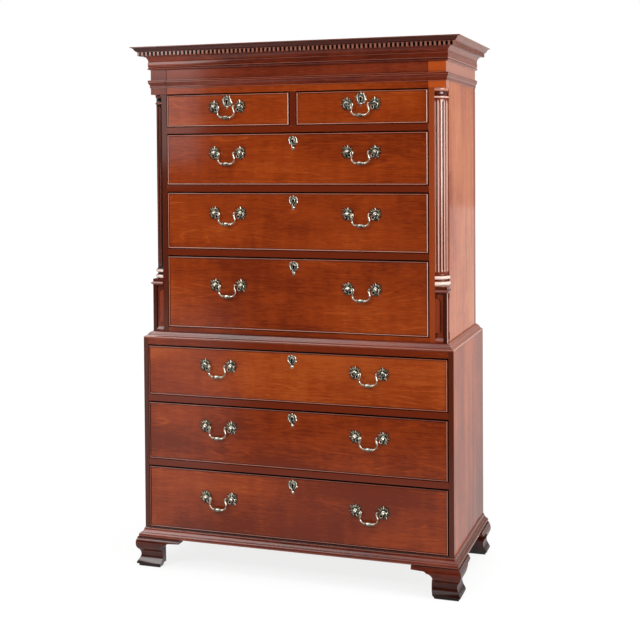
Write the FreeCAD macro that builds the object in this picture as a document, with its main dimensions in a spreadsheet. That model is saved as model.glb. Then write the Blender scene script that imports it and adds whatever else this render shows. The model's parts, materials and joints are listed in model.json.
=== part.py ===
import FreeCAD, Part
import math
import os
import re
import Sketcher

# A mahogany chest on chest: an upper chest with fluted quarter columns and a dentil cornice stands on a
# lower chest with ogee bracket feet.  Eight locking drawers carry cast brass drop handles.
# Millimetres.  X runs left to right, the drawers face -Y and Z points up.  The origin is on the floor, under
# the middle of the whole chest.

SIZES = (
    # name, value, meaning
    ("lower_width", 1112, "lower chest, side to side"),
    ("lower_depth", 516, "lower chest, drawer fronts to back"),
    ("waist_step", 26, "upper chest stands in from the lower by this much, at the front and both sides"),
    ("side_thickness", 17, "case sides"),
    ("board_thickness", 18, "top and bottom boards of each case"),
    ("back_thickness", 12, "backboards"),
    ("back_joint", 1, "shrinkage gap between two backboards"),
    ("rail_height", 22.5, "drawer rails, seen from the front"),
    ("rail_depth", 60, "drawer rails, front to back"),
    ("runner_width", 30, "part of a runner that lies under a drawer side"),
    ("dustboard_thickness", 8, "panels between the runners"),
    ("guide_height", 20, "strips that guide a drawer's sides"),
    ("stop_height", 5, "drawer stops"),
    ("stop_length", 40, "drawer stops, side to side"),
    ("stop_depth", 12, "drawer stops, front to back"),
    ("partition_width", 23, "upright between the two short drawers"),
    ("case_rim", 12, "top of the cornice above the top board"),
    # drawers, from the floor up
    ("drawer_gap", 1.5, "all round a closed drawer"),
    ("lower_bottom_height", 217, "drawer front, bead to bead"),
    ("lower_middle_height", 202, "drawer front, bead to bead"),
    ("lower_top_height", 174, "drawer front, bead to bead"),
    ("upper_bottom_height", 251, "drawer front, bead to bead"),
    ("upper_middle_height", 198, "drawer front, bead to bead"),
    ("upper_top_height", 177.5, "drawer front, bead to bead"),
    ("short_height", 113, "drawer front, bead to bead"),
    ("front_thickness", 20, "drawer fronts"),
    ("bead_width", 4, "cock beads, seen from the front"),
    ("bead_proud", 2.5, "cock beads stand out this far"),
    ("bead_depth", 10, "cock beads are let into the front this far"),
    ("lining_thickness", 11, "drawer sides and backs"),
    ("lining_drop", 3, "top of the drawer sides below the top of the front"),
    ("back_drop", 14, "top of the drawer back below the top of the front"),
    ("bottom_thickness", 7, "drawer bottoms"),
    ("slip_height", 10, "strips under a drawer bottom"),
    ("slip_width", 10, "strips under a drawer bottom"),
    ("running_gap", 0.3, "between a drawer and what it runs on"),
    ("rear_gap", 12, "between a closed drawer and the backboards"),
    # handles and locks
    ("post_spacing", 97, "between the two posts of a handle"),
    ("post_reach", 14, "bail's axis in front of the drawer front"),
    ("post_radius", 3, "shank through the drawer front"),
    ("neck_radius", 4, "post between the plate and its ball"),
    ("post_knob_radius", 6, "ball that holds the end of the bail"),
    ("shank_clearance", 0.2, "round a shank in its hole"),
    ("nut_width", 12, "square nuts behind the drawer front"),
    ("nut_thickness", 4, "square nuts behind the drawer front"),
    ("rosette_radius", 18, "cast plates behind the posts"),
    ("rosette_thickness", 3, "cast plates behind the posts"),
    ("bail_radius", 2.6, "rod of the bail"),
    ("bail_clearance", 0.08, "round the bail's ends in the posts"),
    ("bail_shoulder", 8, "bend next to each post, at the rod's middle"),
    ("bail_arm_inset", 17.5, "arms of the bail inside the post axes"),
    ("bail_bend", 8, "lower bends of the bail, at the rod's middle"),
    ("bail_drop", 39.5, "grip's middle below the posts"),
    ("bail_end", 2.5, "ends of the bail beyond the post axes"),
    ("grip_radius", 4.6, "swelling of the grip"),
    ("grip_length", 12, "thick middle of the grip"),
    ("lower_handle_offset", 271, "middle of a handle from the middle of a lower drawer"),
    ("short_handle_drop", 45, "posts below the top of the drawer front"),
    ("upper_top_handle_drop", 66.5, "posts below the top of the drawer front"),
    ("upper_middle_handle_drop", 71.5, "posts below the top of the drawer front"),
    ("upper_bottom_handle_drop", 98.5, "posts below the top of the drawer front"),
    ("lower_top_handle_drop", 60, "posts below the top of the drawer front"),
    ("lower_middle_handle_drop", 73.5, "posts below the top of the drawer front"),
    ("lower_bottom_handle_drop", 94, "posts below the top of the drawer front"),
    ("key_drop", 27, "keyhole below the top of the drawer front"),
    ("key_radius", 2.75, "round part of the keyhole"),
    ("key_slot_width", 3.2, "straight part of the keyhole"),
    ("key_slot_length", 12, "straight part of the keyhole, from the round part's middle"),
    ("escutcheon_radius", 16, "cast keyhole plate, its broad middle"),
    ("escutcheon_tip_radius", 9, "cast keyhole plate, its two ends"),
    ("escutcheon_rise", 13, "cast keyhole plate, its upper end above the keyhole"),
    ("escutcheon_pendant", 20, "cast keyhole plate, its lower end below the keyhole"),
    ("escutcheon_thickness", 2.5, "cast keyhole plate"),
    ("lock_width", 60, "lock case"),
    ("lock_height", 44, "lock case"),
    ("lock_thickness", 11, "lock case"),
    ("lock_drop", 2, "lock case below the top of the drawer front"),
    ("bolt_width", 22, "lock bolt"),
    ("bolt_thickness", 5, "lock bolt"),
    ("bolt_length", 20, "lock bolt"),
    ("bolt_throw", 9, "lock bolt's travel into the rail above"),
    ("bolt_clearance", 0.3, "round the bolt in the lock case"),
    ("mortise_clearance", 1, "round the bolt in the rail"),
    # base
    ("foot_height", 103, "bracket feet"),
    ("foot_inset", 8, "back of a foot's facing inside the case"),
    ("foot_shoulder", 22, "top of a foot stands out from the case this far"),
    ("foot_bulge", 25.5, "widest part of a foot"),
    ("foot_waist", 14.5, "narrowest part of a foot"),
    ("foot_hollow", 3, "depth of the curve at the narrowest part"),
    ("foot_toe", 24, "toe of a foot"),
    ("foot_sole", 17.5, "sole of a foot"),
    ("foot_length", 140, "bracket along the case, at the top"),
    ("foot_leg", 68, "bracket along the case, at its knee"),
    ("foot_taper", 6, "a leg is this much narrower at the floor"),
    ("foot_cusp", 88, "inner end of the bracket's curve"),
    ("cusp_length", 16, "small curve between the leg and the bracket's end"),
    ("cusp_drop", 9, "the cusp hangs this far below the bracket's end"),
    ("foot_wing", 12, "height of the bracket's end"),
    ("wing_slope", 2, "the bracket's end is this much higher at its tip"),
    ("foot_block", 45, "glue block inside a foot"),
    ("rear_bracket_thickness", 18, "plain brackets at the back"),
    ("base_height", 30, "base moulding"),
    ("base_reach", 18, "base moulding"),
    ("base_reveal", 4.5, "bottom rail seen above the base moulding"),
    ("waist_height", 22, "waist moulding"),
    ("waist_gap", 0.5, "between the waist moulding and the upper chest"),
    ("upper_plinth", 38.5, "bottom rail of the upper chest"),
    # quarter columns
    ("stile_width", 19.5, "upright between a column and the drawers"),
    ("column_notch", 40, "square corner that holds a column"),
    ("column_radius", 36, "fluted shaft"),
    ("column_ring", 39.5, "widest rings of base and capital"),
    ("column_neck", 34.8, "plain neck of the capital"),
    ("flute_radius", 3.6, "flutes"),
    ("flute_margin", 8, "plain shaft above and below the flutes"),
    ("pedestal_top", 187, "top of the pedestal above the lower chest"),
    ("cap_height", 10.5, "moulded cap of the pedestal"),
    ("cap_reach", 6.5, "moulded cap of the pedestal"),
    ("plinth_height", 10, "square block under the column"),
    ("column_base_height", 42, "turned base"),
    ("capital_height", 36, "turned capital"),
    ("panel_depth", 3, "sunk panel of the pedestal"),
    ("panel_margin", 13, "sunk panel from the corner of the pedestal"),
    ("panel_width", 12, "sunk panel, its long middle part"),
    ("panel_end_height", 24, "sunk panel, the two ends that reach to the stile"),
    ("panel_top_margin", 3, "sunk panel below the cap"),
    ("panel_foot_margin", 9, "sunk panel above the waist moulding"),
    # entablature, from the drawers up
    ("frieze_thickness", 20, "frieze board"),
    ("architrave_height", 28, "moulding under the frieze"),
    ("architrave_reach", 10, "moulding under the frieze"),
    ("frieze_height", 35, "plain frieze between the mouldings"),
    ("bed_height", 49, "hollow bed mould"),
    ("bed_reach", 19, "hollow bed mould"),
    ("dentil_height", 13, "dentil course"),
    ("dentil_reach", 35, "dentil course"),
    ("dentil_depth", 8, "notches between the dentils"),
    ("dentil_notch", 5.9, "notches between the dentils"),
    ("dentil_pitch", 15.3, "from one dentil to the next"),
    ("crown_height", 18, "crown mould"),
    ("cornice_reach", 55, "crown mould"),
    ("cut_margin", 1, "a cutting shape reaches past what it cuts"),
)

# Places worked out from the sizes.  A name may use the names above it.
PLACES = {
    "lower_half": "lower_width / 2",
    "lower_inside": "lower_half - side_thickness",
    "upper_half": "lower_half - waist_step",
    "upper_inside": "upper_half - side_thickness",
    "column_inner": "upper_half - column_notch",
    "stile_inner": "column_inner - stile_width",
    "lower_front": "(cornice_reach - waist_step - lower_depth) / 2",
    "upper_front": "lower_front + waist_step",
    "upper_depth": "lower_depth - waist_step",
    "column_back": "upper_front + column_notch",
    "case_back": "lower_front + lower_depth",
    "back_inner": "case_back - back_thickness",
    "drawer_back": "back_inner - rear_gap",
    "lower_rails": "lower_front + rail_depth",
    "upper_rails": "upper_front + rail_depth",
    "lower_floor": "foot_height + base_height + base_reveal",
    "lower_top": "lower_floor + lower_bottom_height + lower_middle_height + lower_top_height"
                 " + 6 * drawer_gap + 3 * rail_height",
    "upper_floor": "lower_top + upper_plinth",
    "column_top": "upper_floor + upper_bottom_height + upper_middle_height + upper_top_height"
                  " + short_height + 8 * drawer_gap + 3 * rail_height",
    "architrave_low": "column_top + rail_height",
    "frieze_low": "architrave_low + architrave_height",
    "bed_low": "frieze_low + frieze_height",
    "dentil_low": "bed_low + bed_height",
    "crown_low": "dentil_low + dentil_height",
    "case_top": "crown_low + crown_height - case_rim",
    "pedestal_high": "lower_top + pedestal_top",
    "plinth_low": "pedestal_high + cap_height",
    "column_low": "plinth_low + plinth_height",
    "shaft_low": "column_low + column_base_height",
    "shaft_high": "column_top - capital_height",
    "foot_stock": "foot_inset + foot_bulge",
}

FLUTES = 5
TURN = {"front": 180, "left": 90, "right": -90}
AXES = {
    "up": FreeCAD.Rotation(),
    "front": FreeCAD.Rotation(FreeCAD.Vector(1, 0, 0), 90),
    "side": FreeCAD.Rotation(FreeCAD.Vector(0, 1, 0), 90),
}

doc = FreeCAD.newDocument("ChestOnChest")
sheet = doc.addObject("Spreadsheet::Sheet", "Sizes")
for row, (name, number, meaning) in enumerate(SIZES, start=1):
    sheet.set(f"A{row}", name)
    sheet.set(f"B{row}", str(number))
    sheet.set(f"C{row}", meaning)
    sheet.setAlias(f"B{row}", name)
doc.recompute()

NAMES = [name for name, number, meaning in SIZES]
nodes = []


# ---- expressions and plain shapes ----

def expand(text, size=lambda name: "Sizes." + name):
    """Write out every place in an expression, down to the sizes in the sheet."""
    def swap(match):
        word = match.group()
        if word in PLACES:
            return "(" + expand(PLACES[word], size) + ")"
        return size(word) if word in NAMES else word
    return re.sub(r"[a-z_]+", swap, text)


def number_of(text):
    """The value that an expression has with the present sizes."""
    return FreeCAD.Units.Quantity(expand(text, lambda name: repr(float(sheet.get(name))))).Value


def bind(thing, **expressions):
    for name, text in expressions.items():
        thing.setExpression(name, expand(str(text)))


def move(thing, x="0", y="0", z="0"):
    for axis, text in zip("xyz", (x, y, z)):
        thing.setExpression("Placement.Base." + axis, expand(text))
    return thing


def block(x, y, z):
    """A straight board that fills the space between two places along each axis."""
    board = doc.addObject("Part::Box", "Board")
    sides = [f"({high}) - ({low})" for low, high in (x, y, z)]
    bind(board, Length=sides[0], Width=sides[1], Height=sides[2])
    return move(board, x[0], y[0], z[0])


def rod(radius, length, axis, x="0", y="0", z="0"):
    """A round bar that starts at a place and runs up, to the front (-Y) or to the side (+X)."""
    bar = doc.addObject("Part::Cylinder", "Rod")
    bar.Placement.Rotation = AXES[axis]
    bind(bar, Radius=radius, Height=length)
    return move(bar, x, y, z)


def fuse(*pieces):
    joined = doc.addObject("Part::MultiFuse", "Joined")
    joined.Shapes = list(pieces)
    return joined


def cut(base, *tools):
    result = doc.addObject("Part::Cut", "Cut")
    result.Base = base
    result.Tool = tools[0] if len(tools) == 1 else fuse(*tools)
    return result


def mirrored(piece):
    """The same piece on the other side of the YZ plane."""
    twin = doc.addObject("Part::Mirroring", "Mirrored")
    twin.Source = piece
    twin.Normal = FreeCAD.Vector(1, 0, 0)
    return twin


def both(piece):
    return [piece, mirrored(piece)]


def copy_of(piece, x="0", y="0", z="0", turn=0):
    """A piece made at the origin, turned about Z and set in its place."""
    copy = doc.addObject("Part::Compound", "Copy")
    copy.Links = [piece]
    copy.Placement.Rotation = FreeCAD.Rotation(FreeCAD.Vector(0, 0, 1), turn)
    return move(copy, x, y, z)


def node(label, pieces):
    part = doc.addObject("Part::Compound", label)
    part.Label = label
    part.Links = list(pieces)
    nodes.append(part)


# ---- sketched shapes ----

def origin_part(body, role):
    return next(item for item in body.Origin.OriginFeatures if item.Role == role)


def outline(body, plane, corners):
    """A closed sketch on an origin plane.  Each corner is (x, y), or (x, y, angle) where an arc leaves it:
    it turns left by the angle if that is positive, and right if negative."""
    sketch = body.newObject("Sketcher::SketchObject", "Outline")
    sketch.AttachmentSupport = [(origin_part(body, plane), "")]
    sketch.MapMode = "FlatFace"
    points = [FreeCAD.Vector(number_of(corner[0]), number_of(corner[1]), 0) for corner in corners]
    starts, ends = [], []
    for index, corner in enumerate(corners):
        here, there = points[index], points[(index + 1) % len(points)]
        angle = corner[2] if len(corner) > 2 else 0
        edge = sketch.addGeometry(edge_between(here, there, angle))
        starts.append((edge, 2 if angle < 0 else 1))
        ends.append((edge, 1 if angle < 0 else 2))
        if angle:
            turn = FreeCAD.Units.Quantity(f"{abs(angle)} deg")
            sketch.addConstraint(Sketcher.Constraint("Angle", edge, turn))
    for index, corner in enumerate(corners):
        sketch.addConstraint(Sketcher.Constraint("Coincident", *ends[index - 1], *starts[index]))
        for kind, line, text in (("DistanceX", -2, corner[0]), ("DistanceY", -1, corner[1])):
            if text == "0":
                sketch.addConstraint(Sketcher.Constraint("PointOnObject", *starts[index], line))
            else:
                rule = sketch.addConstraint(Sketcher.Constraint(kind, -1, 1, *starts[index], number_of(text)))
                sketch.setExpression(f"Constraints[{rule}]", expand(text))
    return sketch


def edge_between(here, there, angle):
    """A line, or the arc that turns by the angle on its way."""
    if not angle:
        return Part.LineSegment(here, there)
    chord = there - here
    bulge = FreeCAD.Vector(chord.y, -chord.x, 0) * math.tan(math.radians(angle / 4)) / 2
    middle = (here + there) / 2 + bulge
    return Part.Arc(here, middle, there) if angle > 0 else Part.Arc(there, middle, here)


def pad(body, corners, plane, length):
    feature = body.newObject("PartDesign::Pad", "Pad")
    feature.Profile = outline(body, plane, corners)
    bind(feature, Length=length)
    body.Tip = feature
    return feature


# A length of moulding is made along +X with its corner at the origin: it stands out towards +Y, and the case
# lies behind y = 0.  A mitred end passes the corner and is cut off along the line x = -y.

def moulded_length(corners, reach, run):
    body = doc.addObject("PartDesign::Body", "Moulding")
    pad(body, corners, "YZ_Plane", run)
    return move(body, x=f"-({reach})")


def mitre(inset, reach, bottom, top):
    """The shape that a mitre takes off."""
    tool = doc.addObject("Part::Wedge", "Mitre")
    bind(tool, Ymin=f"-({inset})", Ymax=reach, Xmin=f"-2 * ({reach})", Xmax=inset, X2min=f"-2 * ({reach})",
         X2max=f"-({reach})", Zmin=f"{bottom} - cut_margin", Zmax=f"{top} + cut_margin",
         Z2min=f"{bottom} - cut_margin", Z2max=f"{top} + cut_margin")
    return tool


def mitred_set(front_length, side_length, reach, height, half, front, bottom):
    """Front, left and right lengths of a moulding, mitred at the front corners."""
    corner = mitre("0", reach, "0", height)
    far_corner = copy_of(mirrored(corner), x=f"2 * ({half})")
    front_piece = copy_of(cut(front_length, corner, far_corner), half, front, bottom, TURN["front"])
    left_piece = copy_of(cut(side_length, corner), f"-({half})", front, bottom, TURN["left"])
    return [front_piece] + both(left_piece)


def moulding(corners, reach, height, half, front, depth, bottom):
    front_length = moulded_length(corners, reach, f"2 * ({half}) + 2 * ({reach})")
    side_length = moulded_length(corners, reach, f"{depth} + {reach}")
    return mitred_set(front_length, side_length, reach, height, half, front, bottom)


# ---- carcasses ----

def openings(floor, heights):
    """Floor and ceiling of each drawer opening, from the lowest up, with a rail above each."""
    levels = []
    for height in heights:
        ceiling = f"{floor} + {height} + 2 * drawer_gap"
        levels.append((floor, ceiling))
        floor = f"{ceiling} + rail_height"
    return levels


def rail(half, front, floor, locks):
    """A drawer rail, with a mortise in its underside for each lock bolt below it."""
    board = block((f"-({half})", half), (front, f"{front} + rail_depth"), (floor, f"{floor} + rail_height"))
    if not locks:
        return board
    reach = "(bolt_width / 2 + mortise_clearance)"
    middle = f"{front} + front_thickness + lock_thickness / 2"
    depth = "(bolt_thickness / 2 + mortise_clearance)"
    mortises = [block((f"{x} - {reach}", f"{x} + {reach}"), (f"{middle} - {depth}", f"{middle} + {depth}"),
                      (f"{floor} - cut_margin", f"{floor} + bolt_throw")) for x in locks]
    return cut(board, *mortises)


def runners(drawer_side, inside, rails, floor):
    """Runners along both case sides, level with a rail; above a drawer they keep it from tipping."""
    return both(block((f"{drawer_side} - runner_width", inside), (rails, "back_inner"),
                      (floor, f"{floor} + rail_height")))


def dustboard(low_x, high_x, rails, floor):
    middle = f"{floor} + (rail_height - dustboard_thickness) / 2"
    return block((low_x, high_x), (rails, "back_inner"), (middle, f"{middle} + dustboard_thickness"))


def stops(low_x, high_x, front, floor):
    """Two blocks behind the foot of a closed drawer front."""
    spacing = f"({high_x} - ({low_x})) / 5"
    back_of_front = f"{front} + front_thickness"
    places = (f"{low_x} + {spacing}", f"{high_x} - {spacing} - stop_length")
    return [block((x, f"{x} + stop_length"), (back_of_front, f"{back_of_front} + stop_depth"),
                  (floor, f"{floor} + stop_height")) for x in places]


def backboards(inside, bottom, top, count):
    """Upright boards across the back."""
    width = f"(2 * {inside} - {count - 1} * back_joint) / {count}"
    lows = [f"{index} * ({width} + back_joint) - ({inside})" for index in range(count)]
    return [block((low, f"{low} + {width}"), ("back_inner", "case_back"), (bottom, top)) for low in lows]


LOWER_HEIGHTS = ("lower_bottom_height", "lower_middle_height", "lower_top_height")
UPPER_HEIGHTS = ("upper_bottom_height", "upper_middle_height", "upper_top_height", "short_height")
lower_levels = openings("lower_floor", LOWER_HEIGHTS)
upper_levels = openings("upper_floor", UPPER_HEIGHTS)
short_middle = "(stile_inner / 2 + partition_width / 4)"


def lower_chest():
    across = ("-(lower_inside)", "lower_inside")
    node("lower_sides", both(block(("lower_inside", "lower_half"), ("lower_front", "case_back"),
                                   ("foot_height", "lower_top"))))
    node("lower_boards", [
        block(across, ("lower_rails", "back_inner"), ("lower_floor - board_thickness", "lower_floor")),
        block(across, ("lower_rails", "back_inner"), ("lower_top - board_thickness", "lower_top")),
    ])
    pieces = [block(across, ("lower_front", "lower_rails"), ("foot_height", "lower_floor"))]
    for floor, ceiling in lower_levels:
        pieces.append(rail("lower_inside", "lower_front", ceiling, ["0"]))
        pieces += stops("-(lower_inside)", "lower_inside", "lower_front", floor)
    for floor, ceiling in lower_levels[:-1]:
        pieces += runners("lower_inside", "lower_inside", "lower_rails", ceiling)
        pieces.append(dustboard("runner_width - lower_inside", "lower_inside - runner_width", "lower_rails",
                                ceiling))
    node("lower_dividers", pieces)
    node("lower_backboards", backboards("lower_inside", "foot_height", "lower_top", 4))


def upper_chest():
    stile_z = ("lower_top", "column_top")
    side = block(("upper_inside", "upper_half"), ("column_back", "case_back"), ("lower_top", "case_top"))
    stile = block(("stile_inner", "column_inner"), ("upper_front", "upper_rails"), stile_z)
    backing = block(("column_inner", "upper_inside"), ("column_back", "upper_rails"), stile_z)
    node("upper_sides", both(side) + both(stile) + both(backing))
    across = ("-(upper_inside)", "upper_inside")
    top_z = ("case_top - board_thickness", "case_top")
    node("upper_boards", [
        block(across, ("upper_rails", "back_inner"), ("upper_floor - board_thickness", "upper_floor")),
        fuse(block(across, ("column_back", "back_inner"), top_z),
             block(("-(stile_inner)", "stile_inner"), ("upper_front + frieze_thickness", "column_back"),
                   top_z)),
    ])
    node("upper_backboards", backboards("upper_inside", "lower_top", "case_top", 5))

    front_y = ("upper_front", "upper_rails")
    behind_y = ("upper_rails", "back_inner")
    pieces = [block(("-(stile_inner)", "stile_inner"), front_y, ("lower_top", "upper_floor"))]
    locks = (["0"], ["0"], ["0"], [short_middle, f"-{short_middle}"])
    for (floor, ceiling), keys in zip(upper_levels, locks):
        pieces.append(rail("stile_inner", "upper_front", ceiling, keys))
        pieces += runners("stile_inner", "upper_inside", "upper_rails", ceiling)
        pieces += both(block(("stile_inner", "upper_inside"), behind_y, (floor, f"{floor} + guide_height")))
    for floor, ceiling in upper_levels[:2]:
        pieces.append(dustboard("runner_width - stile_inner", "stile_inner - runner_width", "upper_rails",
                                ceiling))
    for floor, ceiling in upper_levels[:3]:
        pieces += stops("-(stile_inner)", "stile_inner", "upper_front", floor)

    short_floor, short_ceiling = upper_levels[-1]
    under_short = upper_levels[2][1]
    half = "partition_width / 2"
    shelf = f"{half} + runner_width"
    pieces.append(block((f"-({half})", half), front_y, (short_floor, short_ceiling)))
    pieces.append(block((f"-({half})", half), behind_y, (short_floor, f"{short_floor} + guide_height")))
    for floor in (under_short, short_ceiling):
        pieces.append(block((f"-({shelf})", shelf), behind_y, (floor, f"{floor} + rail_height")))
    pieces += both(dustboard(shelf, "stile_inner - runner_width", "upper_rails", under_short))
    pieces += stops(half, "stile_inner", "upper_front", short_floor)
    pieces += stops("-(stile_inner)", f"-({half})", "upper_front", short_floor)
    node("upper_dividers", pieces)


# ---- base, waist and entablature ----

def base_and_waist():
    ogee = [("0", "0"), ("0.92 * base_reach", "0"), ("base_reach", "0.1 * base_height"),
            ("base_reach", "0.27 * base_height", 60), ("0.7 * base_reach", "0.47 * base_height", -60),
            ("0.14 * base_reach", "0.93 * base_height"), ("0.14 * base_reach", "base_height"),
            ("0", "base_height")]
    node("base_moulding", moulding(ogee, "base_reach", "base_height", "lower_half", "lower_front",
                                   "lower_depth", "foot_height"))
    reach = "(waist_step - waist_gap)"
    ovolo = [("0", "0"), (reach, "0"), (reach, "0.26 * waist_height"),
             (f"0.88 * {reach}", "0.26 * waist_height", 75), (f"0.3 * {reach}", "0.78 * waist_height"),
             (f"0.3 * {reach}", "0.86 * waist_height"), (f"0.12 * {reach}", "waist_height"),
             ("0", "waist_height")]
    node("waist_moulding", moulding(ovolo, reach, "waist_height", "upper_half + waist_gap",
                                    "upper_front - waist_gap", "upper_depth + waist_gap", "lower_top"))


def entablature():
    block_z = ("column_top", "case_top")
    corner_blocks = both(block(("stile_inner", "upper_half"), ("upper_front", "column_back"), block_z))
    board = block(("-(stile_inner)", "stile_inner"), ("upper_front", "upper_front + frieze_thickness"),
                  ("architrave_low", "case_top"))
    cyma = [("0", "0"), ("0.3 * architrave_reach", "0"),
            ("0.3 * architrave_reach", "0.2 * architrave_height", -50),
            ("0.62 * architrave_reach", "0.5 * architrave_height", 50),
            ("0.9 * architrave_reach", "0.76 * architrave_height"),
            ("architrave_reach", "0.76 * architrave_height"), ("architrave_reach", "architrave_height"),
            ("0", "architrave_height")]
    lengths = moulding(cyma, "architrave_reach", "architrave_height", "upper_half", "upper_front",
                       "upper_depth", "architrave_low")
    node("frieze", corner_blocks + [board] + lengths)

    cavetto = [("0", "0"), ("0.4 * bed_reach", "0.05 * bed_height", 150),
               ("0.4 * bed_reach", "0.15 * bed_height"), ("0.3 * bed_reach", "0.19 * bed_height"),
               ("0.4 * bed_reach", "0.23 * bed_height", 20), ("0.4 * bed_reach", "0.58 * bed_height"),
               ("0.36 * bed_reach", "0.6 * bed_height", -60), ("bed_reach", "bed_height"),
               ("0", "bed_height")]
    bed = moulding(cavetto, "bed_reach", "bed_height", "upper_half", "upper_front", "upper_depth", "bed_low")
    fillet = "(dentil_reach + 2 * cut_margin)"
    swell = f"(cornice_reach - {fillet})"
    crown_profile = [("0", "0"), (fillet, "0"), (fillet, "0.1 * crown_height", 55),
                     (f"{fillet} + 0.4 * {swell}", "0.45 * crown_height", -55),
                     (f"{fillet} + 0.88 * {swell}", "0.82 * crown_height"),
                     ("cornice_reach", "0.82 * crown_height"), ("cornice_reach", "crown_height"),
                     ("0", "crown_height")]
    crown = moulding(crown_profile, "cornice_reach", "crown_height", "upper_half", "upper_front",
                     "upper_depth", "crown_low")
    dentils = mitred_set(dentil_length("2 * upper_half + 2 * dentil_reach"),
                         dentil_length("upper_depth + dentil_reach"), "dentil_reach", "dentil_height",
                         "upper_half", "upper_front", "dentil_low")
    node("cornice", bed + dentils + crown)


def dentil_length(run):
    """A strip with notches that leave a row of dentils, one of them at each end."""
    body = doc.addObject("PartDesign::Body", "Dentils")
    strip = body.newObject("PartDesign::AdditiveBox", "Strip")
    bind(strip, Length=run, Width="dentil_reach", Height="dentil_height")
    notch = body.newObject("PartDesign::SubtractiveBox", "Notch")
    bind(notch, Length="dentil_notch", Width="dentil_depth + cut_margin",
         Height="dentil_height + 2 * cut_margin")
    move(notch, "dentil_pitch - dentil_notch", "dentil_reach - dentil_depth", "-cut_margin")
    row = body.newObject("PartDesign::LinearPattern", "Row")
    row.Originals = [notch]
    row.Direction = (origin_part(body, "X_Axis"), [""])
    row.Mode = "Extent"
    bind(row, Length=f"{run} - 2 * dentil_pitch + dentil_notch",
         Occurrences=f"round(({run}) / dentil_pitch) - 1")
    body.Tip = row
    return move(body, x="-dentil_reach")


# ---- feet ----

def bracket_foot_facing():
    """An ogee facing with a scrolled bracket, along +X from the corner of the case."""
    body = doc.addObject("PartDesign::Body", "Facing")
    hollow = "foot_inset + foot_waist + foot_hollow"
    toe, sole = "foot_inset + foot_toe", "foot_inset + foot_sole"
    shoulder = "foot_inset + foot_shoulder"
    section = [("0", "0"), (sole, "0"), (sole, "0.05 * foot_height"), (toe, "0.09 * foot_height"),
               (toe, "0.14 * foot_height"), (hollow, "0.24 * foot_height", -75),
               (hollow, "0.56 * foot_height", 80), (shoulder, "0.96 * foot_height"),
               (shoulder, "foot_height"), ("0", "foot_height")]
    pad(body, section, "YZ_Plane", "foot_bulge + foot_length")
    tip = "foot_bulge + foot_length + cut_margin"
    wing = "foot_height - foot_wing"
    opening = [("foot_bulge + foot_leg - foot_taper", "-cut_margin"), (tip, "-cut_margin"), (tip, wing),
               ("foot_bulge + foot_cusp + cusp_length", f"{wing} - wing_slope", 60),
               ("foot_bulge + foot_cusp", f"{wing} - cusp_drop", 70),
               ("foot_bulge + foot_leg", "0.66 * foot_height", -50)]
    scroll = body.newObject("PartDesign::Pocket", "Scroll")
    scroll.Profile = outline(body, "XZ_Plane", opening)
    scroll.Type = "ThroughAll"
    body.Tip = scroll
    return move(body, x="-foot_bulge", y="-foot_inset")


def bracket_feet():
    facing = bracket_foot_facing()
    mitred = cut(facing, mitre("foot_inset", "foot_bulge", "0", "foot_height"))
    squared = cut(facing, block(("-2 * foot_bulge", "0"), ("-foot_stock", "foot_stock"),
                                ("-cut_margin", "foot_height + cut_margin")))
    right_pieces = [
        copy_of(mitred, "lower_half", "lower_front", turn=TURN["front"]),
        copy_of(mirrored(mitred), "lower_half", "lower_front", turn=TURN["right"]),
        copy_of(squared, "lower_half", "case_back", turn=TURN["right"]),
    ]
    outer = "lower_half - foot_inset"
    front = "lower_front + foot_inset"
    right_pieces.append(block((f"{outer} - foot_block", outer), (front, f"{front} + foot_block"),
                              ("0", "foot_height")))
    rear = ("case_back - rear_bracket_thickness", "case_back")
    leg = block((f"{outer} - foot_leg", outer), rear, ("0", "foot_height"))
    wing = block((f"{outer} - foot_length", outer), rear, ("foot_height - 2 * foot_wing", "foot_height"))
    right_pieces.append(fuse(leg, wing))
    right_pieces.append(block((f"{outer} - foot_block", outer), (f"{rear[0]} - foot_block", rear[0]),
                              ("0", "foot_height")))
    node("bracket_feet", [side for piece in right_pieces for side in both(piece)])


# ---- quarter columns ----

def column_profile():
    """Half section of a turned column: base, shaft and capital, with x the radius."""
    waist = "0.5 * (column_radius + column_ring)"
    foot = "column_low + {} * column_base_height"
    head = "column_top - {} * capital_height"
    return [("0", "column_low"), ("column_ring", "column_low"), ("column_ring", foot.format(0.06), 150),
            ("column_ring", foot.format(0.36)), (waist, foot.format(0.4), -80), (waist, foot.format(0.52)),
            ("column_ring", foot.format(0.56), 150), ("column_ring", foot.format(0.8)),
            (waist, foot.format(0.84)), (waist, foot.format(0.92)), ("column_radius", foot.format(1)),
            ("column_radius", head.format(1)), (waist, head.format(0.94), 150), (waist, head.format(0.72)),
            ("column_neck", head.format(0.66)), ("column_neck", head.format(0.36), 70),
            ("column_ring", head.format(0.08)), ("column_ring", head.format(0)), ("0", head.format(0))]


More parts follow.
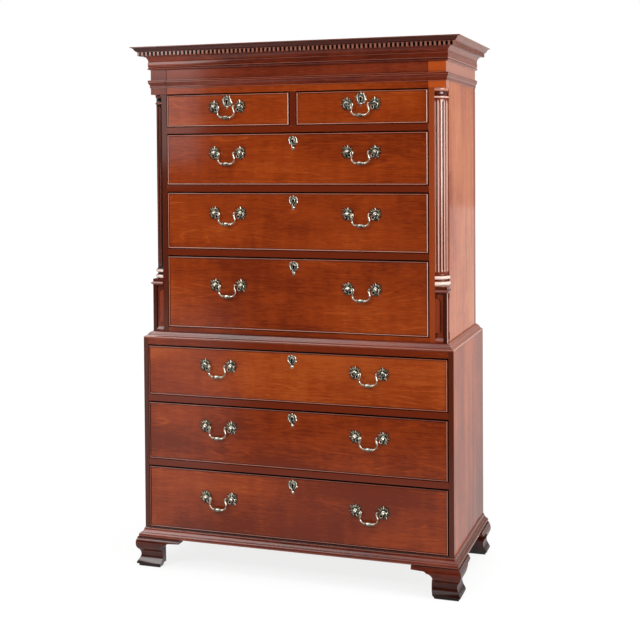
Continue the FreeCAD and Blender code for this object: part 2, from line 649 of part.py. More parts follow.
def quarter_columns():
    body = doc.addObject("PartDesign::Body", "Column")
    turned = body.newObject("PartDesign::Revolution", "Turned")
    turned.Profile = outline(body, "XZ_Plane", column_profile())
    turned.ReferenceAxis = (origin_part(body, "Z_Axis"), [""])
    turned.Angle = 90
    turned.Reversed = True
    body.Tip = turned
    move(body, "column_inner", "column_back")

    flutes = []
    for index in range(FLUTES):
        angle = f"{90 / FLUTES * (index + 0.5)} deg"
        x, y = (f"column_inner + column_radius * cos({angle})", f"column_back - column_radius * sin({angle})")
        flutes.append(rod("flute_radius", "shaft_high - shaft_low - 2 * flute_margin", "up", x, y,
                          "shaft_low + flute_margin"))
    column = cut(body, *flutes)

    notch = ("column_inner", "upper_half"), ("upper_front", "column_back")
    plinth = block(*notch, ("plinth_low", "column_low"))
    cap_z = ("pedestal_high", "plinth_low")
    cap = fuse(block(*notch, cap_z),
               block(("column_inner", "upper_half + cap_reach"), ("upper_front - cap_reach", "upper_front"),
                     cap_z),
               block(("upper_half", "upper_half + cap_reach"), ("upper_front", "column_back"), cap_z))

    low, high = "lower_top + waist_height + panel_foot_margin", "pedestal_high - panel_top_margin"
    tools = []
    for start, end, inner in ((low, high, "panel_margin + panel_width"),
                              (low, f"{low} + panel_end_height", "column_notch + cut_margin"),
                              (f"{high} - panel_end_height", high, "column_notch + cut_margin")):
        tools.append(block((f"upper_half - ({inner})", "upper_half - panel_margin"),
                           ("upper_front - cut_margin", "upper_front + panel_depth"), (start, end)))
        tools.append(block(("upper_half - panel_depth", "upper_half + cut_margin"),
                           ("upper_front + panel_margin", f"upper_front + {inner}"), (start, end)))
    pedestal = cut(block(*notch, ("lower_top", "pedestal_high")), *tools)
    node("quarter_columns", [side for piece in (column, plinth, cap, pedestal) for side in both(piece)])


# ---- drawers ----

def make_rosette():
    """A cast plate round a post, at the origin of the drawer face."""
    plate = rod("rosette_radius", "rosette_thickness", "front")
    dome = doc.addObject("Part::Cone", "Dome")
    dome.Placement.Rotation = AXES["front"]
    bind(dome, Radius1="0.8 * rosette_radius", Radius2="post_knob_radius", Height="rosette_thickness")
    move(dome, y="-rosette_thickness")
    hole = rod("neck_radius", "3 * rosette_thickness", "front", y="cut_margin")
    return cut(fuse(plate, dome), hole)


def make_post():
    """A turned post: ball with an eye, neck, and shank for the nut."""
    ball = doc.addObject("Part::Sphere", "Ball")
    bind(ball, Radius="post_knob_radius")
    move(ball, y="-post_reach")
    neck = rod("neck_radius", "post_reach", "front")
    shank = rod("post_radius", "front_thickness + 2 * nut_thickness", "front",
                y="front_thickness + 2 * nut_thickness")
    eye = rod("bail_radius + bail_clearance", "4 * post_knob_radius", "side", x="-2 * post_knob_radius",
              y="-post_reach")
    return cut(fuse(ball, neck, shank), eye)


def make_nut():
    half = "nut_width / 2"
    across = (f"-{half}", half)
    body = block(across, ("front_thickness", "front_thickness + nut_thickness"), across)
    return cut(body, rod("post_radius", "2 * front_thickness + 2 * nut_thickness", "front",
                         y="2 * front_thickness + nut_thickness"))


def make_bail():
    """A drop handle between two posts, centred on the axis it swings about."""
    arm = "post_spacing / 2 - bail_arm_inset"
    end = "post_spacing / 2 + bail_end"
    pieces = [rod("bail_radius", f"{end} - ({arm} + bail_shoulder)", "side", x=f"{arm} + bail_shoulder")]
    pieces.append(bend("bail_shoulder", 90, f"{arm} + bail_shoulder", "-bail_shoulder"))
    pieces.append(rod("bail_radius", "bail_drop - bail_shoulder - bail_bend", "up", x=arm,
                      z="bail_bend - bail_drop"))
    pieces.append(bend("bail_bend", -90, f"{arm} - bail_bend", "bail_bend - bail_drop"))
    taper = doc.addObject("Part::Cone", "Taper")
    taper.Placement.Rotation = AXES["side"]
    bind(taper, Radius1="grip_radius", Radius2="bail_radius", Height=f"{arm} - bail_bend - grip_length / 2")
    pieces.append(move(taper, x="grip_length / 2", z="-bail_drop"))
    grip = rod("grip_radius", "grip_length", "side", x="-grip_length / 2", z="-bail_drop")
    return fuse(grip, *[side for piece in pieces for side in both(piece)])


def bend(radius, start, x, z):
    """A quarter turn of the bail's rod, in the plane of the bail."""
    torus = doc.addObject("Part::Torus", "Bend")
    torus.Angle3 = 90
    torus.Placement.Rotation = AXES["front"].multiply(FreeCAD.Rotation(FreeCAD.Vector(0, 0, 1), start))
    bind(torus, Radius1=radius, Radius2="bail_radius")
    return move(torus, x, z=z)


def keyhole(x, front, z):
    """Cuts through the plate, the drawer front and the face of the lock."""
    length = "front_thickness + escutcheon_thickness + 2 * cut_margin"
    start = f"{front} + front_thickness + cut_margin"
    half = "key_slot_width / 2"
    return fuse(rod("key_radius", length, "front", x, start, z),
                block((f"{x} - {half}", f"{x} + {half}"), (f"{start} - ({length})", start),
                      (f"{z} - key_slot_length", z)))


def drawer_front(x, y, z, cuts):
    """The board, stepped back round its edges to take the cock beads, and the four beads."""
    (left, right), (front, back), (low, high) = x, y, z
    step = f"{front} + bead_depth"
    inner_x = f"{left} + bead_width", f"{right} - bead_width"
    inner_z = f"{low} + bead_width", f"{high} - bead_width"
    board = cut(fuse(block(inner_x, (front, step), inner_z), block(x, (step, back), z)), *cuts)
    bead_y = f"{front} - bead_proud", step
    return [board,
            block(x, bead_y, (low, inner_z[0])), block(x, bead_y, (inner_z[1], high)),
            block((left, inner_x[0]), bead_y, inner_z), block((inner_x[1], right), bead_y, inner_z)]


def drawer_box(x, y, floor, high):
    """Two sides, back, bottom and the slips under the bottom."""
    (left, right), (front, back) = x, y
    low = f"{floor} + running_gap"
    top = f"{high} - lining_drop"
    inner = f"{left} + lining_thickness", f"{right} - lining_thickness"
    panel = f"{floor} + slip_height", f"{floor} + slip_height + bottom_thickness"
    return [block((left, inner[0]), y, (low, top)), block((inner[1], right), y, (low, top)),
            block(inner, (f"{back} - lining_thickness", back), (panel[1], f"{high} - back_drop")),
            block(inner, y, panel),
            block((inner[0], f"{inner[0]} + slip_width"), y, (low, panel[0])),
            block((f"{inner[1]} - slip_width", inner[1]), y, (low, panel[0]))]


def drawer(name, opening_x, front, level, height, handles, handle_drop):
    """One drawer with its box, brasses, lock bolt and bails; handles maps a suffix to a handle's middle."""
    left, right = f"{opening_x[0]} + drawer_gap", f"{opening_x[1]} - drawer_gap"
    low = f"{level} + drawer_gap"
    high = f"{low} + {height}"
    middle = f"({left} + {right}) / 2"
    back_of_front = f"{front} + front_thickness"
    post_z = f"{high} - {handle_drop}"
    key_z = f"{high} - key_drop"
    posts = [f"{x} {side} post_spacing / 2" for x in handles.values() for side in "+-"]
    key = keyhole(middle, front, key_z)
    shanks = [rod("post_radius + shank_clearance", "front_thickness + 2 * cut_margin", "front", x,
                  f"{back_of_front} + cut_margin", post_z) for x in posts]
    node(f"{name}_front", drawer_front((left, right), (front, back_of_front), (low, high), [key] + shanks))
    node(f"{name}_box", drawer_box((left, right), (back_of_front, "drawer_back"), level, high))

    brasses = [copy_of(piece, x, front, post_z) for x in posts for piece in (rosette, post, nut)]
    plate_y = front
    plate = fuse(*[rod(radius, "escutcheon_thickness", "front", middle, plate_y, f"{key_z} {offset}")
                   for radius, offset in (("escutcheon_radius", ""),
                                          ("escutcheon_tip_radius", "+ escutcheon_rise"),
                                          ("escutcheon_tip_radius", "- escutcheon_pendant"))])
    brasses.append(cut(plate, key))
    lock_top = f"{high} - lock_drop"
    case = block((f"{middle} - lock_width / 2", f"{middle} + lock_width / 2"),
                 (back_of_front, f"{back_of_front} + lock_thickness"),
                 (f"{lock_top} - lock_height", lock_top))
    bolt_y = f"{back_of_front} + lock_thickness / 2"
    half_x, half_y = "bolt_width / 2", "bolt_thickness / 2"
    bolt_low = f"{lock_top} - bolt_length"
    channel = block((f"{middle} - {half_x} - bolt_clearance", f"{middle} + {half_x} + bolt_clearance"),
                    (f"{bolt_y} - {half_y} - bolt_clearance", f"{bolt_y} + {half_y} + bolt_clearance"),
                    (f"{bolt_low} - bolt_clearance", f"{lock_top} + cut_margin"))
    brasses.append(cut(case, channel, key))
    node(f"{name}_brasses", brasses)
    node(f"{name}_lock_bolt", [block((f"{middle} - {half_x}", f"{middle} + {half_x}"),
                                     (f"{bolt_y} - {half_y}", f"{bolt_y} + {half_y}"), (bolt_low, lock_top))])
    for suffix, x in handles.items():
        node(f"{name}_bail{suffix}", [copy_of(bail, x, f"{front} - post_reach", post_z)])


def drawers():
    lower_x = "-(lower_inside)", "lower_inside"
    upper_x = "-(stile_inner)", "stile_inner"
    lower_pair = {"_left": "-lower_handle_offset", "_right": "lower_handle_offset"}
    upper_pair = {"_left": f"-{short_middle}", "_right": short_middle}
    for place, (floor, ceiling) in zip(("bottom", "middle", "top"), lower_levels):
        drawer(f"lower_{place}_drawer", lower_x, "lower_front", floor, f"lower_{place}_height", lower_pair,
               f"lower_{place}_handle_drop")
    for place, (floor, ceiling) in zip(("bottom", "middle", "top"), upper_levels):
        drawer(f"upper_{place}_drawer", upper_x, "upper_front", floor, f"upper_{place}_height", upper_pair,
               f"upper_{place}_handle_drop")
    half = "partition_width / 2"
    floor = upper_levels[-1][0]
    drawer("short_left_drawer", ("-(stile_inner)", f"-({half})"), "upper_front", floor, "short_height",
           {"": f"-{short_middle}"}, "short_handle_drop")
    drawer("short_right_drawer", (half, "stile_inner"), "upper_front", floor, "short_height",
           {"": short_middle}, "short_handle_drop")


rosette, post, nut, bail = make_rosette(), make_post(), make_nut(), make_bail()
lower_chest()
base_and_waist()
bracket_feet()
upper_chest()
entablature()
quarter_columns()
drawers()
doc.recompute()

for item in doc.Objects:
    if "Invalid" in item.State or "Error" in item.State:
        raise RuntimeError(f"{item.Label} did not recompute: {item.State}")
for part in nodes:
    if part.Shape.isNull() or not part.Shape.isValid():
        raise RuntimeError(f"{part.Label} has no valid shape")
    if not part.Shape.Solids or min(solid.Volume for solid in part.Shape.Solids) <= 0:
        raise RuntimeError(f"{part.Label} has a solid that is empty or inside out")

os.makedirs("parts", exist_ok=True)
for part in nodes:
    Part.makeCompound(part.Shape.Solids).exportStep(f"parts/{part.Label}.step")
print(len(nodes), "sub-parts,", sum(len(part.Shape.Solids) for part in nodes), "solids")
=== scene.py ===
import json
import random
from math import atan2, copysign, cos, degrees, hypot, pi, radians, sin, sqrt, tau
import bmesh
import bpy
from mathutils import Matrix, Vector


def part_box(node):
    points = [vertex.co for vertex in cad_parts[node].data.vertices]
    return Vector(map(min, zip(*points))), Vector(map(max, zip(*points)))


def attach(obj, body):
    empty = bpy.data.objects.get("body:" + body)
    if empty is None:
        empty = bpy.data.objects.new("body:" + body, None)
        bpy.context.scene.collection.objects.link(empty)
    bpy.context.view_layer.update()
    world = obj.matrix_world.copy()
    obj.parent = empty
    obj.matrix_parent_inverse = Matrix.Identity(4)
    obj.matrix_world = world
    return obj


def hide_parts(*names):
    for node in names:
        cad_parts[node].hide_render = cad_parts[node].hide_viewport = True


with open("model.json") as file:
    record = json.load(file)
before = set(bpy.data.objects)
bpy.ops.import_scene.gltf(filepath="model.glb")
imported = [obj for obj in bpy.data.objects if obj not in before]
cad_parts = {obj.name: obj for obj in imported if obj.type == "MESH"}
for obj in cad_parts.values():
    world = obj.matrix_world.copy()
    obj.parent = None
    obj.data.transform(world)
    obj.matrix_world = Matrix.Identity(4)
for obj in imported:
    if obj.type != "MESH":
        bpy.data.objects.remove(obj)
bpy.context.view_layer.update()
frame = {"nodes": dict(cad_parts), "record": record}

# A mahogany chest on chest, dressed around its CAD frame. Metres; X to the right, drawers face -Y, Z up.

NODES = frame["nodes"]
BODY_OF = {node: body for body, nodes in frame["record"]["behaviour"]["bodies"].items() for node in nodes}
DRAWERS = [node[:-len("_front")] for node in sorted(NODES) if node.endswith("_front")]

# ---- places, from the frame ----

MM = 0.001
lower_low, lower_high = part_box("lower_sides")
upper_low, upper_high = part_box("upper_sides")
LOWER_HALF, LOWER_FRONT = lower_high.x, lower_low.y
UPPER_HALF, UPPER_FRONT = upper_high.x, upper_low.y
CASE_BACK = lower_high.y
FOOT_TOP = lower_low.z
COLUMN_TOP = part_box("quarter_columns")[1].z
WAIST_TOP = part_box("waist_moulding")[1].z

GAP = 1.5 * MM  # round a drawer front of the frame
SLACK = 1 * MM  # what a dressed front gives up beyond that gap
BEAD_WIDTH = 4 * MM
BEAD_PROUD = 2.5 * MM  # cock beads stand out from the front's face
BEAD_DEPTH = 10 * MM  # and are let in behind it
QUIRK = 0.8 * MM  # groove between a bead and the board
NOTCH = 40 * MM  # corners of the upper case that hold the quarter columns
STILE_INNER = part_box("upper_middle_drawer_front")[1].x + GAP
COLUMN_INNER = UPPER_HALF - NOTCH
COLUMN_BACK = UPPER_FRONT + NOTCH

FLUTES = 5
FLUTE_RADIUS = 3.3 * MM
FLUTE_MARGIN = 8 * MM  # plain shaft above and below the flutes
SHAFT = 36 * MM  # radius of the columns

POST_HALF = 48.5 * MM  # from the middle of a bail to its posts
POST_REACH = 14 * MM  # from the drawer's face to the bail's axis
KEY_DROP = 27 * MM  # from the front's top to the round part of the keyhole
KEY_RADIUS = 4.0 * MM
KEY_SLOT_HALF, KEY_SLOT_LENGTH = 2.2 * MM, 16 * MM
KEY_MIDDLE = -4 * MM  # middle of the whole keyhole, from its round part

BOARD_EDGE, MOULDING_EDGE, CORNICE_EDGE, FINE_EDGE = 0.6 * MM, 0.4 * MM, 0.35 * MM, 0.3 * MM
MERGE = 0.01 * MM  # corners this close are one
ALMOST = 1.000001  # for two lengths that are equal but for rounding, as at a corner
LOG = 9  # metres of timber that the boards are cut from
UNEVEN = 0.05  # how far boards of one kind differ in tone

luck = random.Random(7)


# ---- meshes ----

def arc(start, end, turn, steps=8):
    """Points after start up to end on an arc in a plane; it turns left by turn degrees if positive."""
    if not turn:
        return [end]
    (x0, y0), (x1, y1) = start, end
    half = radians(turn) / 2
    chord = hypot(x1 - x0, y1 - y0)
    radius = chord / (2 * sin(half))
    heading = atan2(y1 - y0, x1 - x0) - half
    points = []
    for step in range(1, steps + 1):
        swept = radians(turn) * step / steps
        points.append((x0 + radius * (sin(heading + swept) - sin(heading)),
                       y0 - radius * (cos(heading + swept) - cos(heading))))
    return points


def profile(corners, reach=1.0, height=1.0, steps=8):
    """A closed outline from (out, up) corners; a third number is the turn of the arc that leaves a corner."""
    points = []
    for index, corner in enumerate(corners):
        following = corners[(index + 1) % len(corners)]
        here = (corner[0] * reach, corner[1] * height)
        there = (following[0] * reach, following[1] * height)
        if index == 0:
            points.append(here)
        points += arc(here, there, corner[2] if len(corner) > 2 else 0, steps)
    return points[:-1]


class Timber:
    """Closed shapes gathered into one mesh, each with its own run of grain."""

    def __init__(self):
        self.mesh = bmesh.new()
        self.grain = self.mesh.verts.layers.float_vector.new("grain")
        self.tone = self.mesh.verts.layers.float.new("tone")
        self.wear_and_light = self.mesh.verts.layers.float.new("wear_and_light")

    def mark(self, verts, along, tone=0.0):
        """Lay the grain along an axis, at a place of its own in the log."""
        first = "xyz".index(along)
        shift = Vector([luck.uniform(0, LOG) for axis in range(3)])
        for vert in verts:
            co = vert.co
            vert[self.grain] = Vector((co[first], co[(first + 1) % 3], co[(first + 2) % 3])) + shift
            vert[self.tone] = tone

    def loft(self, rings, along, tone=0.0, round_trip=False, wear_and_light=None):
        """A closed shape through rings of points, with a face at each end or, on a round trip, none.

        wear_and_light is a number for each point of a ring, or such a list for each ring: 1 pale, -1 dark; it
        holds wear and dirt, and also painted highlights and painted shade."""
        rows = [[self.mesh.verts.new(point) for point in ring] for ring in rings]
        count = len(rows[0])
        pairs = list(zip(rows, rows[1:])) + ([(rows[-1], rows[0])] if round_trip else [])
        faces = []
        for low, high in pairs:
            for index in range(count):
                after = (index + 1) % count
                faces.append(self.mesh.faces.new((low[index], low[after], high[after], high[index])))
        if not round_trip:
            faces.append(self.mesh.faces.new(rows[0][::-1]))
            faces.append(self.mesh.faces.new(rows[-1]))
        bmesh.ops.recalc_face_normals(self.mesh, faces=faces)
        self.mark([vert for row in rows for vert in row], along, tone)
        for index, row in enumerate(rows if wear_and_light else []):
            for vert, amount in zip(row, wear_and_light[index] if isinstance(wear_and_light[0], list) else wear_and_light):
                vert[self.wear_and_light] = amount

    def board(self, corner, opposite, tone=0.0, along=None, wear_and_light=0.0):
        """A straight board; the grain runs along its greatest length unless along is given."""
        low, high = Vector([*map(min, corner, opposite)]), Vector([*map(max, corner, opposite)])
        size = high - low
        along = along or "xyz"[max(range(3), key=lambda axis: size[axis])]
        corners = ((low.x, low.z), (high.x, low.z), (high.x, high.z), (low.x, high.z))
        self.loft([[(x, y, z) for x, z in corners] for y in (low.y, high.y)], along, tone, wear_and_light=[wear_and_light] * 4)

    def solids(self, node, tones=(0.0,), heights=(0.0, 9.0)):
        """Copy those of a CAD node's solids that are this high; their tones come round in turn."""
        source = NODES[node].data
        open_edges, faces = set(), []
        count = 0
        for polygon in source.polygons:
            corners = [source.vertices[index].co for index in polygon.vertices]
            keys = [tuple(round(value / MERGE) for value in corner) for corner in corners]
            faces.append(list(zip(keys, corners)))
            for pair in zip(keys, keys[1:] + keys[:1]):
                if pair[::-1] in open_edges:
                    open_edges.remove(pair[::-1])
                elif pair[0] != pair[1]:
                    open_edges.add(pair)
            if not open_edges:
                levels = [corner.z for face in faces for key, corner in face]
                if heights[0] <= max(levels) - min(levels) <= heights[1]:
                    self.solid(faces, tones[count % len(tones)])
                faces = []
                count += 1

    def solid(self, faces, tone):
        """Add one solid, with its flat sides made whole; the grain runs along its greatest length."""
        verts = {}
        for face in faces:
            ring = []
            for key, corner in face:
                if key not in verts:
                    verts[key] = self.mesh.verts.new(corner)
                if verts[key] not in ring:
                    ring.append(verts[key])
            if len(ring) > 2:
                self.mesh.faces.new(ring)
        made = list(verts.values())
        edges = {edge for vert in made for edge in vert.link_edges}
        result = bmesh.ops.dissolve_limit(self.mesh, angle_limit=radians(1), verts=made,
                                          edges=list(edges))
        kept = {vert for face in result["region"] if isinstance(face, bmesh.types.BMFace)
                for vert in face.verts}
        kept |= {vert for vert in made if vert.is_valid}
        spans = [max(v.co[axis] for v in kept) - min(v.co[axis] for v in kept) for axis in range(3)]
        self.mark(kept, "xyz"[spans.index(max(spans))], tone)

    def shade(self, stations):
        """Add tone and wear_and_light by depth; each station is (y, tone, wear_and_light), from front to
        back.
        """
        for y, tone, wear_and_light in stations:
            everything = [*self.mesh.verts, *self.mesh.edges, *self.mesh.faces]
            bmesh.ops.bisect_plane(self.mesh, geom=everything, dist=MERGE, plane_co=(0, y, 0),
                                   plane_no=(0, 1, 0))
        for vert in self.mesh.verts:
            for (y0, tone0, wear0), (y1, tone1, wear1) in zip(stations, stations[1:]):
                if y0 <= vert.co.y <= y1:
                    share = (vert.co.y - y0) / (y1 - y0)
                    vert[self.tone] += tone0 + (tone1 - tone0) * share
                    vert[self.wear_and_light] += wear0 + (wear1 - wear0) * share
                    break

    def build(self, name, node, material, bevel, smooth=40):
        """Make the piece that stands for a CAD node; edges sharper than smooth degrees are eased."""
        mesh = bpy.data.meshes.new(name)
        self.mesh.to_mesh(mesh)
        self.mesh.free()
        piece = added(name, mesh)
        mesh.materials.append(material)
        mesh.shade_smooth()
        mesh.set_sharp_from_angle(angle=radians(smooth))
        if bevel:
            eased = piece.modifiers.new("Eased", "BEVEL")
            eased.width = bevel
            eased.segments = 2
            eased.limit_method = "ANGLE"
            eased.angle_limit = radians(smooth)
        weighted = piece.modifiers.new("Weighted", "WEIGHTED_NORMAL")
        weighted.keep_sharp = not bevel
        bpy.context.view_layer.update()
        graph = bpy.context.evaluated_depsgraph_get()
        piece.data = bpy.data.meshes.new_from_object(piece.evaluated_get(graph), depsgraph=graph,
                                                     preserve_all_data_layers=True)
        piece.modifiers.clear()
        bpy.data.meshes.remove(mesh)
        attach(piece, BODY_OF[node])
        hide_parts(node)


def added(name, data):
    """An object in the scene."""
    made = bpy.data.objects.new(name, data)
    bpy.context.scene.collection.objects.link(made)
    return made


# ---- materials ----

class Graph:
    """A short way to write the nodes of a new material, or of a tree that is there."""

    def __init__(self, name="", tree=None):
        if not tree:
            self.material = bpy.data.materials.new(name)
            self.material.use_nodes = True
            self.shader = self.material.node_tree.nodes["Principled BSDF"]
        self.tree = tree or self.material.node_tree

    def node(self, kind, output=0, settings=None, **inputs):
        made = self.tree.nodes.new("ShaderNode" + kind)
        for key, value in (settings or {}).items():
            setattr(made, key, value)
        for key, value in inputs.items():
            self.feed(made.inputs[int(key[1:])] if key[0] == "_" else made.inputs[key], value)
        return made.outputs[output]

    def attribute(self, name, output=2):
        """A layer of the mesh: its number, or as output 1 its vector."""
        return self.node("Attribute", output=output, settings={"attribute_name": name})

    def feed(self, socket, value):
        if isinstance(value, bpy.types.NodeSocket):
            self.tree.links.new(value, socket)
        else:
            socket.default_value = value

    def math(self, operation, first, second=0.0, third=0.0):
        return self.node("Math", settings={"operation": operation}, _0=first, _1=second, _2=third)

    def times(self, first, second, plus=0.0):
        return self.math("MULTIPLY_ADD", first, second, plus)

    def highest(self, first, *others):
        for other in others:
            first = self.math("MAXIMUM", first, other)
        return first

    def mix(self, amount, first, second):
        """A colour between two."""
        made = self.tree.nodes.new("ShaderNodeMix")
        made.data_type = "RGBA"
        self.feed(made.inputs[0], amount)
        self.feed(made.inputs[6], first)
        self.feed(made.inputs[7], second)
        return made.outputs[2]

    def split(self, vector):
        """The three numbers of a vector."""
        made = self.tree.nodes.new("ShaderNodeSeparateXYZ")
        self.feed(made.inputs[0], vector)
        return made.outputs

    def ramp(self, amount, low, high):
        """0 below low, 1 above high, smooth between them."""
        return self.node("MapRange", settings={"interpolation_type": "SMOOTHSTEP"}, Value=amount,
                         **{"From Min": low, "From Max": high})

    def noise(self, vector, stretch, detail=3.0, roughness=0.5, distortion=0.0):
        """Noise with so many features per metre along each axis."""
        scaled = self.node("VectorMath", settings={"operation": "MULTIPLY"}, _0=vector, _1=stretch)
        return self.node("TexNoise", Vector=scaled, Scale=1.0, Detail=detail, Roughness=roughness,
                         Distortion=distortion)

    def occlusion(self, distance):
        """1 on an open surface, less where others are as near as this."""
        return self.node("AmbientOcclusion", output=1, settings={"samples": 8}, Distance=distance)

    def set(self, **inputs):
        for key, value in inputs.items():
            self.feed(self.shader.inputs[key.replace("_", " ")], value)


def srgb(red, green, blue):
    """A colour named by its 0-255 values."""
    linear = [((v / 255 + 0.055) / 1.055) ** 2.4 if v > 10 else v / 255 / 12.92 for v in (red, green, blue)]
    return (*linear, 1.0)


STAINED_AND_SHADED, BLEACHED = srgb(56, 19, 11), srgb(190, 84, 28)  # boards of tone -1 and 1; low tones also serve as painted shade on the dentil strip and the pedestals' posts
CORNER_SHADE, DIRT_AND_SHADE = srgb(18, 7, 4), srgb(24, 9, 6)  # painted shade in corners; and wear_and_light of -1: dirt at the seams, painted shade in grooves, flutes and beside beads
RUBBED_AND_LIT, BARE_AND_GLINT = srgb(180, 118, 98), srgb(226, 202, 190)  # wear_and_light of 1, and beyond: rubbed pale, and painted highlights and glints


def wood(name, pale, middle, dark, gloss=0.3, coat=1.0, figure=1.0, bands=0.12, spread=60):
    """Polished or bare wood: streaks along the grain, broad clouds, flecks, pores, painted shade in corners,
    where the polish is also rougher.
    """
    g = Graph(name)
    grain, tone, wear_and_light = g.attribute("grain", 1), g.attribute("tone"), g.attribute("wear_and_light")
    clouds = g.noise(grain, (1.9, 5, 5), detail=2, distortion=0.3)
    streaks = g.noise(grain, (spread / 20, spread, spread), roughness=0.55, distortion=0.6)
    flecks = g.noise(grain, (30, 230, 230), detail=2, roughness=0.6)
    rings = g.math("PINGPONG", g.times(g.noise(grain, (1.6, 11, 11), detail=1), 11.0), 0.5)
    rings = g.times(g.ramp(rings, 0.14, 0.0), g.ramp(g.noise(grain, (5, 14, 14)), 0.5, 0.62))
    fine = g.noise(grain, (9, 420, 420), detail=2)
    ripple = g.noise(grain, (26, 8, 8), detail=2)
    pore = g.ramp(g.noise(grain, (110, 1500, 1500), detail=1), 0.58, 0.7)
    mixed = g.times(clouds, 0.62, tone)
    for layer, share in ((streaks, bands), (flecks, 0.28), (fine, 0.2), (ripple, 0.16)):
        mixed = g.times(g.math("SUBTRACT", layer, 0.5), share * figure, mixed)
    mixed = g.times(rings, 0.1 * figure, mixed)
    colour = g.mix(g.ramp(mixed, 0.14, 0.34), dark, middle)
    colour = g.mix(g.ramp(mixed, 0.3, 0.5), colour, pale)
    colour = g.mix(g.ramp(tone, -0.2, -1.0), colour, STAINED_AND_SHADED)
    colour = g.mix(g.ramp(tone, 0.2, 1.0), colour, BLEACHED)
    colour = g.mix(g.times(pore, 0.3), colour, dark)
    # Painted shade: darker wherever other surfaces are near, in corners and gaps; the same mask makes the
    # polish rougher there.
    grime_and_shade = g.ramp(g.occlusion(0.01), 0.8, 0.4)
    colour = g.mix(g.times(grime_and_shade, 0.8), colour, CORNER_SHADE)
    rough = g.times(fine, 0.12, gloss)
    rough = g.times(grime_and_shade, 0.25, rough)
    # Pale where wear_and_light is high: rubbing, and painted highlights on arrises, beads and flutes; dark
    # where it is low: dirt, and painted shade.
    rubbed_and_lit = g.times(g.ramp(wear_and_light, 0.1, 1.0), g.ramp(flecks, 0.0, 0.45))
    colour = g.mix(rubbed_and_lit, colour, RUBBED_AND_LIT)
    colour = g.mix(g.ramp(wear_and_light, 0.9, 1.6), colour, BARE_AND_GLINT)
    colour = g.mix(g.ramp(wear_and_light, -0.1, -1.0), colour, DIRT_AND_SHADE)
    bump = g.node("Bump", Strength=0.1, Distance=0.0003, Height=g.math("SUBTRACT", g.times(fine, 0.6), pore))
    g.set(Base_Color=colour, Roughness=rough, Normal=bump, Coat_Weight=coat, Coat_Roughness=0.1,
          Specular_IOR_Level=0.0 if coat else 0.3)
    return g.material


def metal(name, bright, dull, deep, roughness=0.3):
    """Cast metal, bright where handling has polished it and dark in its hollows."""
    g = Graph(name)
    place = g.node("TexCoord", output=3)
    spots = g.noise(place, (130, 130, 130), detail=4, roughness=0.6)
    pits = g.noise(place, (900, 900, 900), detail=2)
    hollow = g.ramp(g.occlusion(0.007), 0.92, 0.4)
    tarnish_wear_and_light = g.ramp(g.times(hollow, 0.45, spots), 0.35, 0.8)
    colour = g.mix(tarnish_wear_and_light, bright, dull)
    colour = g.mix(g.times(hollow, 0.85), colour, deep)
    colour = g.mix(g.ramp(g.attribute("wear_and_light"), -0.1, -1.0), colour, deep)
    rough = g.times(tarnish_wear_and_light, 0.2, roughness)
    bump = g.node("Bump", Strength=0.2, Distance=0.0003, Height=g.math("ADD", pits, spots))
    g.set(Base_Color=colour, Roughness=rough, Normal=bump, Metallic=1.0)
    return g.material


FRONT = wood("mahogany_fronts", srgb(160, 72, 25), srgb(136, 52, 14), srgb(104, 35, 10))
CASE = wood("mahogany_case", srgb(172, 84, 40), srgb(140, 58, 24), srgb(100, 40, 18),
            figure=0.6, bands=0.6, spread=26)
# The upper sides' wood: paler than the case, partly the wood's own colour and partly painted sheen.
PALE_WITH_SHEEN = wood("mahogany_pale_with_sheen", srgb(204, 126, 80), srgb(182, 102, 64), srgb(146, 62, 28),
             figure=0.6, bands=0.5, spread=26)
DARK = wood("mahogany_mouldings", srgb(124, 50, 26), srgb(100, 36, 18), srgb(66, 22, 12))
OAK = wood("oak", srgb(196, 160, 108), srgb(170, 130, 82), srgb(130, 94, 56), gloss=0.6, coat=0.0)
PINE = wood("pine", srgb(172, 128, 82), srgb(140, 98, 60), srgb(104, 68, 40), gloss=0.65, coat=0.0)
BRASS = metal("aged_brass", srgb(226, 222, 206), srgb(150, 144, 124), srgb(22, 18, 13))
IRON = metal("worn_iron", srgb(150, 148, 145), srgb(90, 84, 80), srgb(30, 28, 26), roughness=0.4)


# ---- cases ----

# The tones of single boards, by their order in the node; the others are near 0.
UPPER_RAILS = {0: -0.02, 1: -0.36, 6: -0.4, 11: -0.34, 16: -0.04, 29: -0.5}
LOWER_RAILS = {0: -1.0, 1: -0.34, 4: -0.34, 7: -0.12}
UPPER_SIDES = (0, 0, -0.32, -0.8, 0, 0)
LOWER_SIDES = (0, -0.05)
SEAMS = ((76 * MM, 0.12), (308 * MM, 0.02))  # in the lower sides: behind the front, and the tone after it


def uneven(count):
    """Tones for so many boards."""
    return [luck.uniform(-UNEVEN, UNEVEN) for board in range(count)]


def copied(name, node, material, tones, stations=()):
    timber = Timber()
    timber.solids(node, tones)
    timber.shade(stations)
    timber.build(name, node, material, BOARD_EDGE)


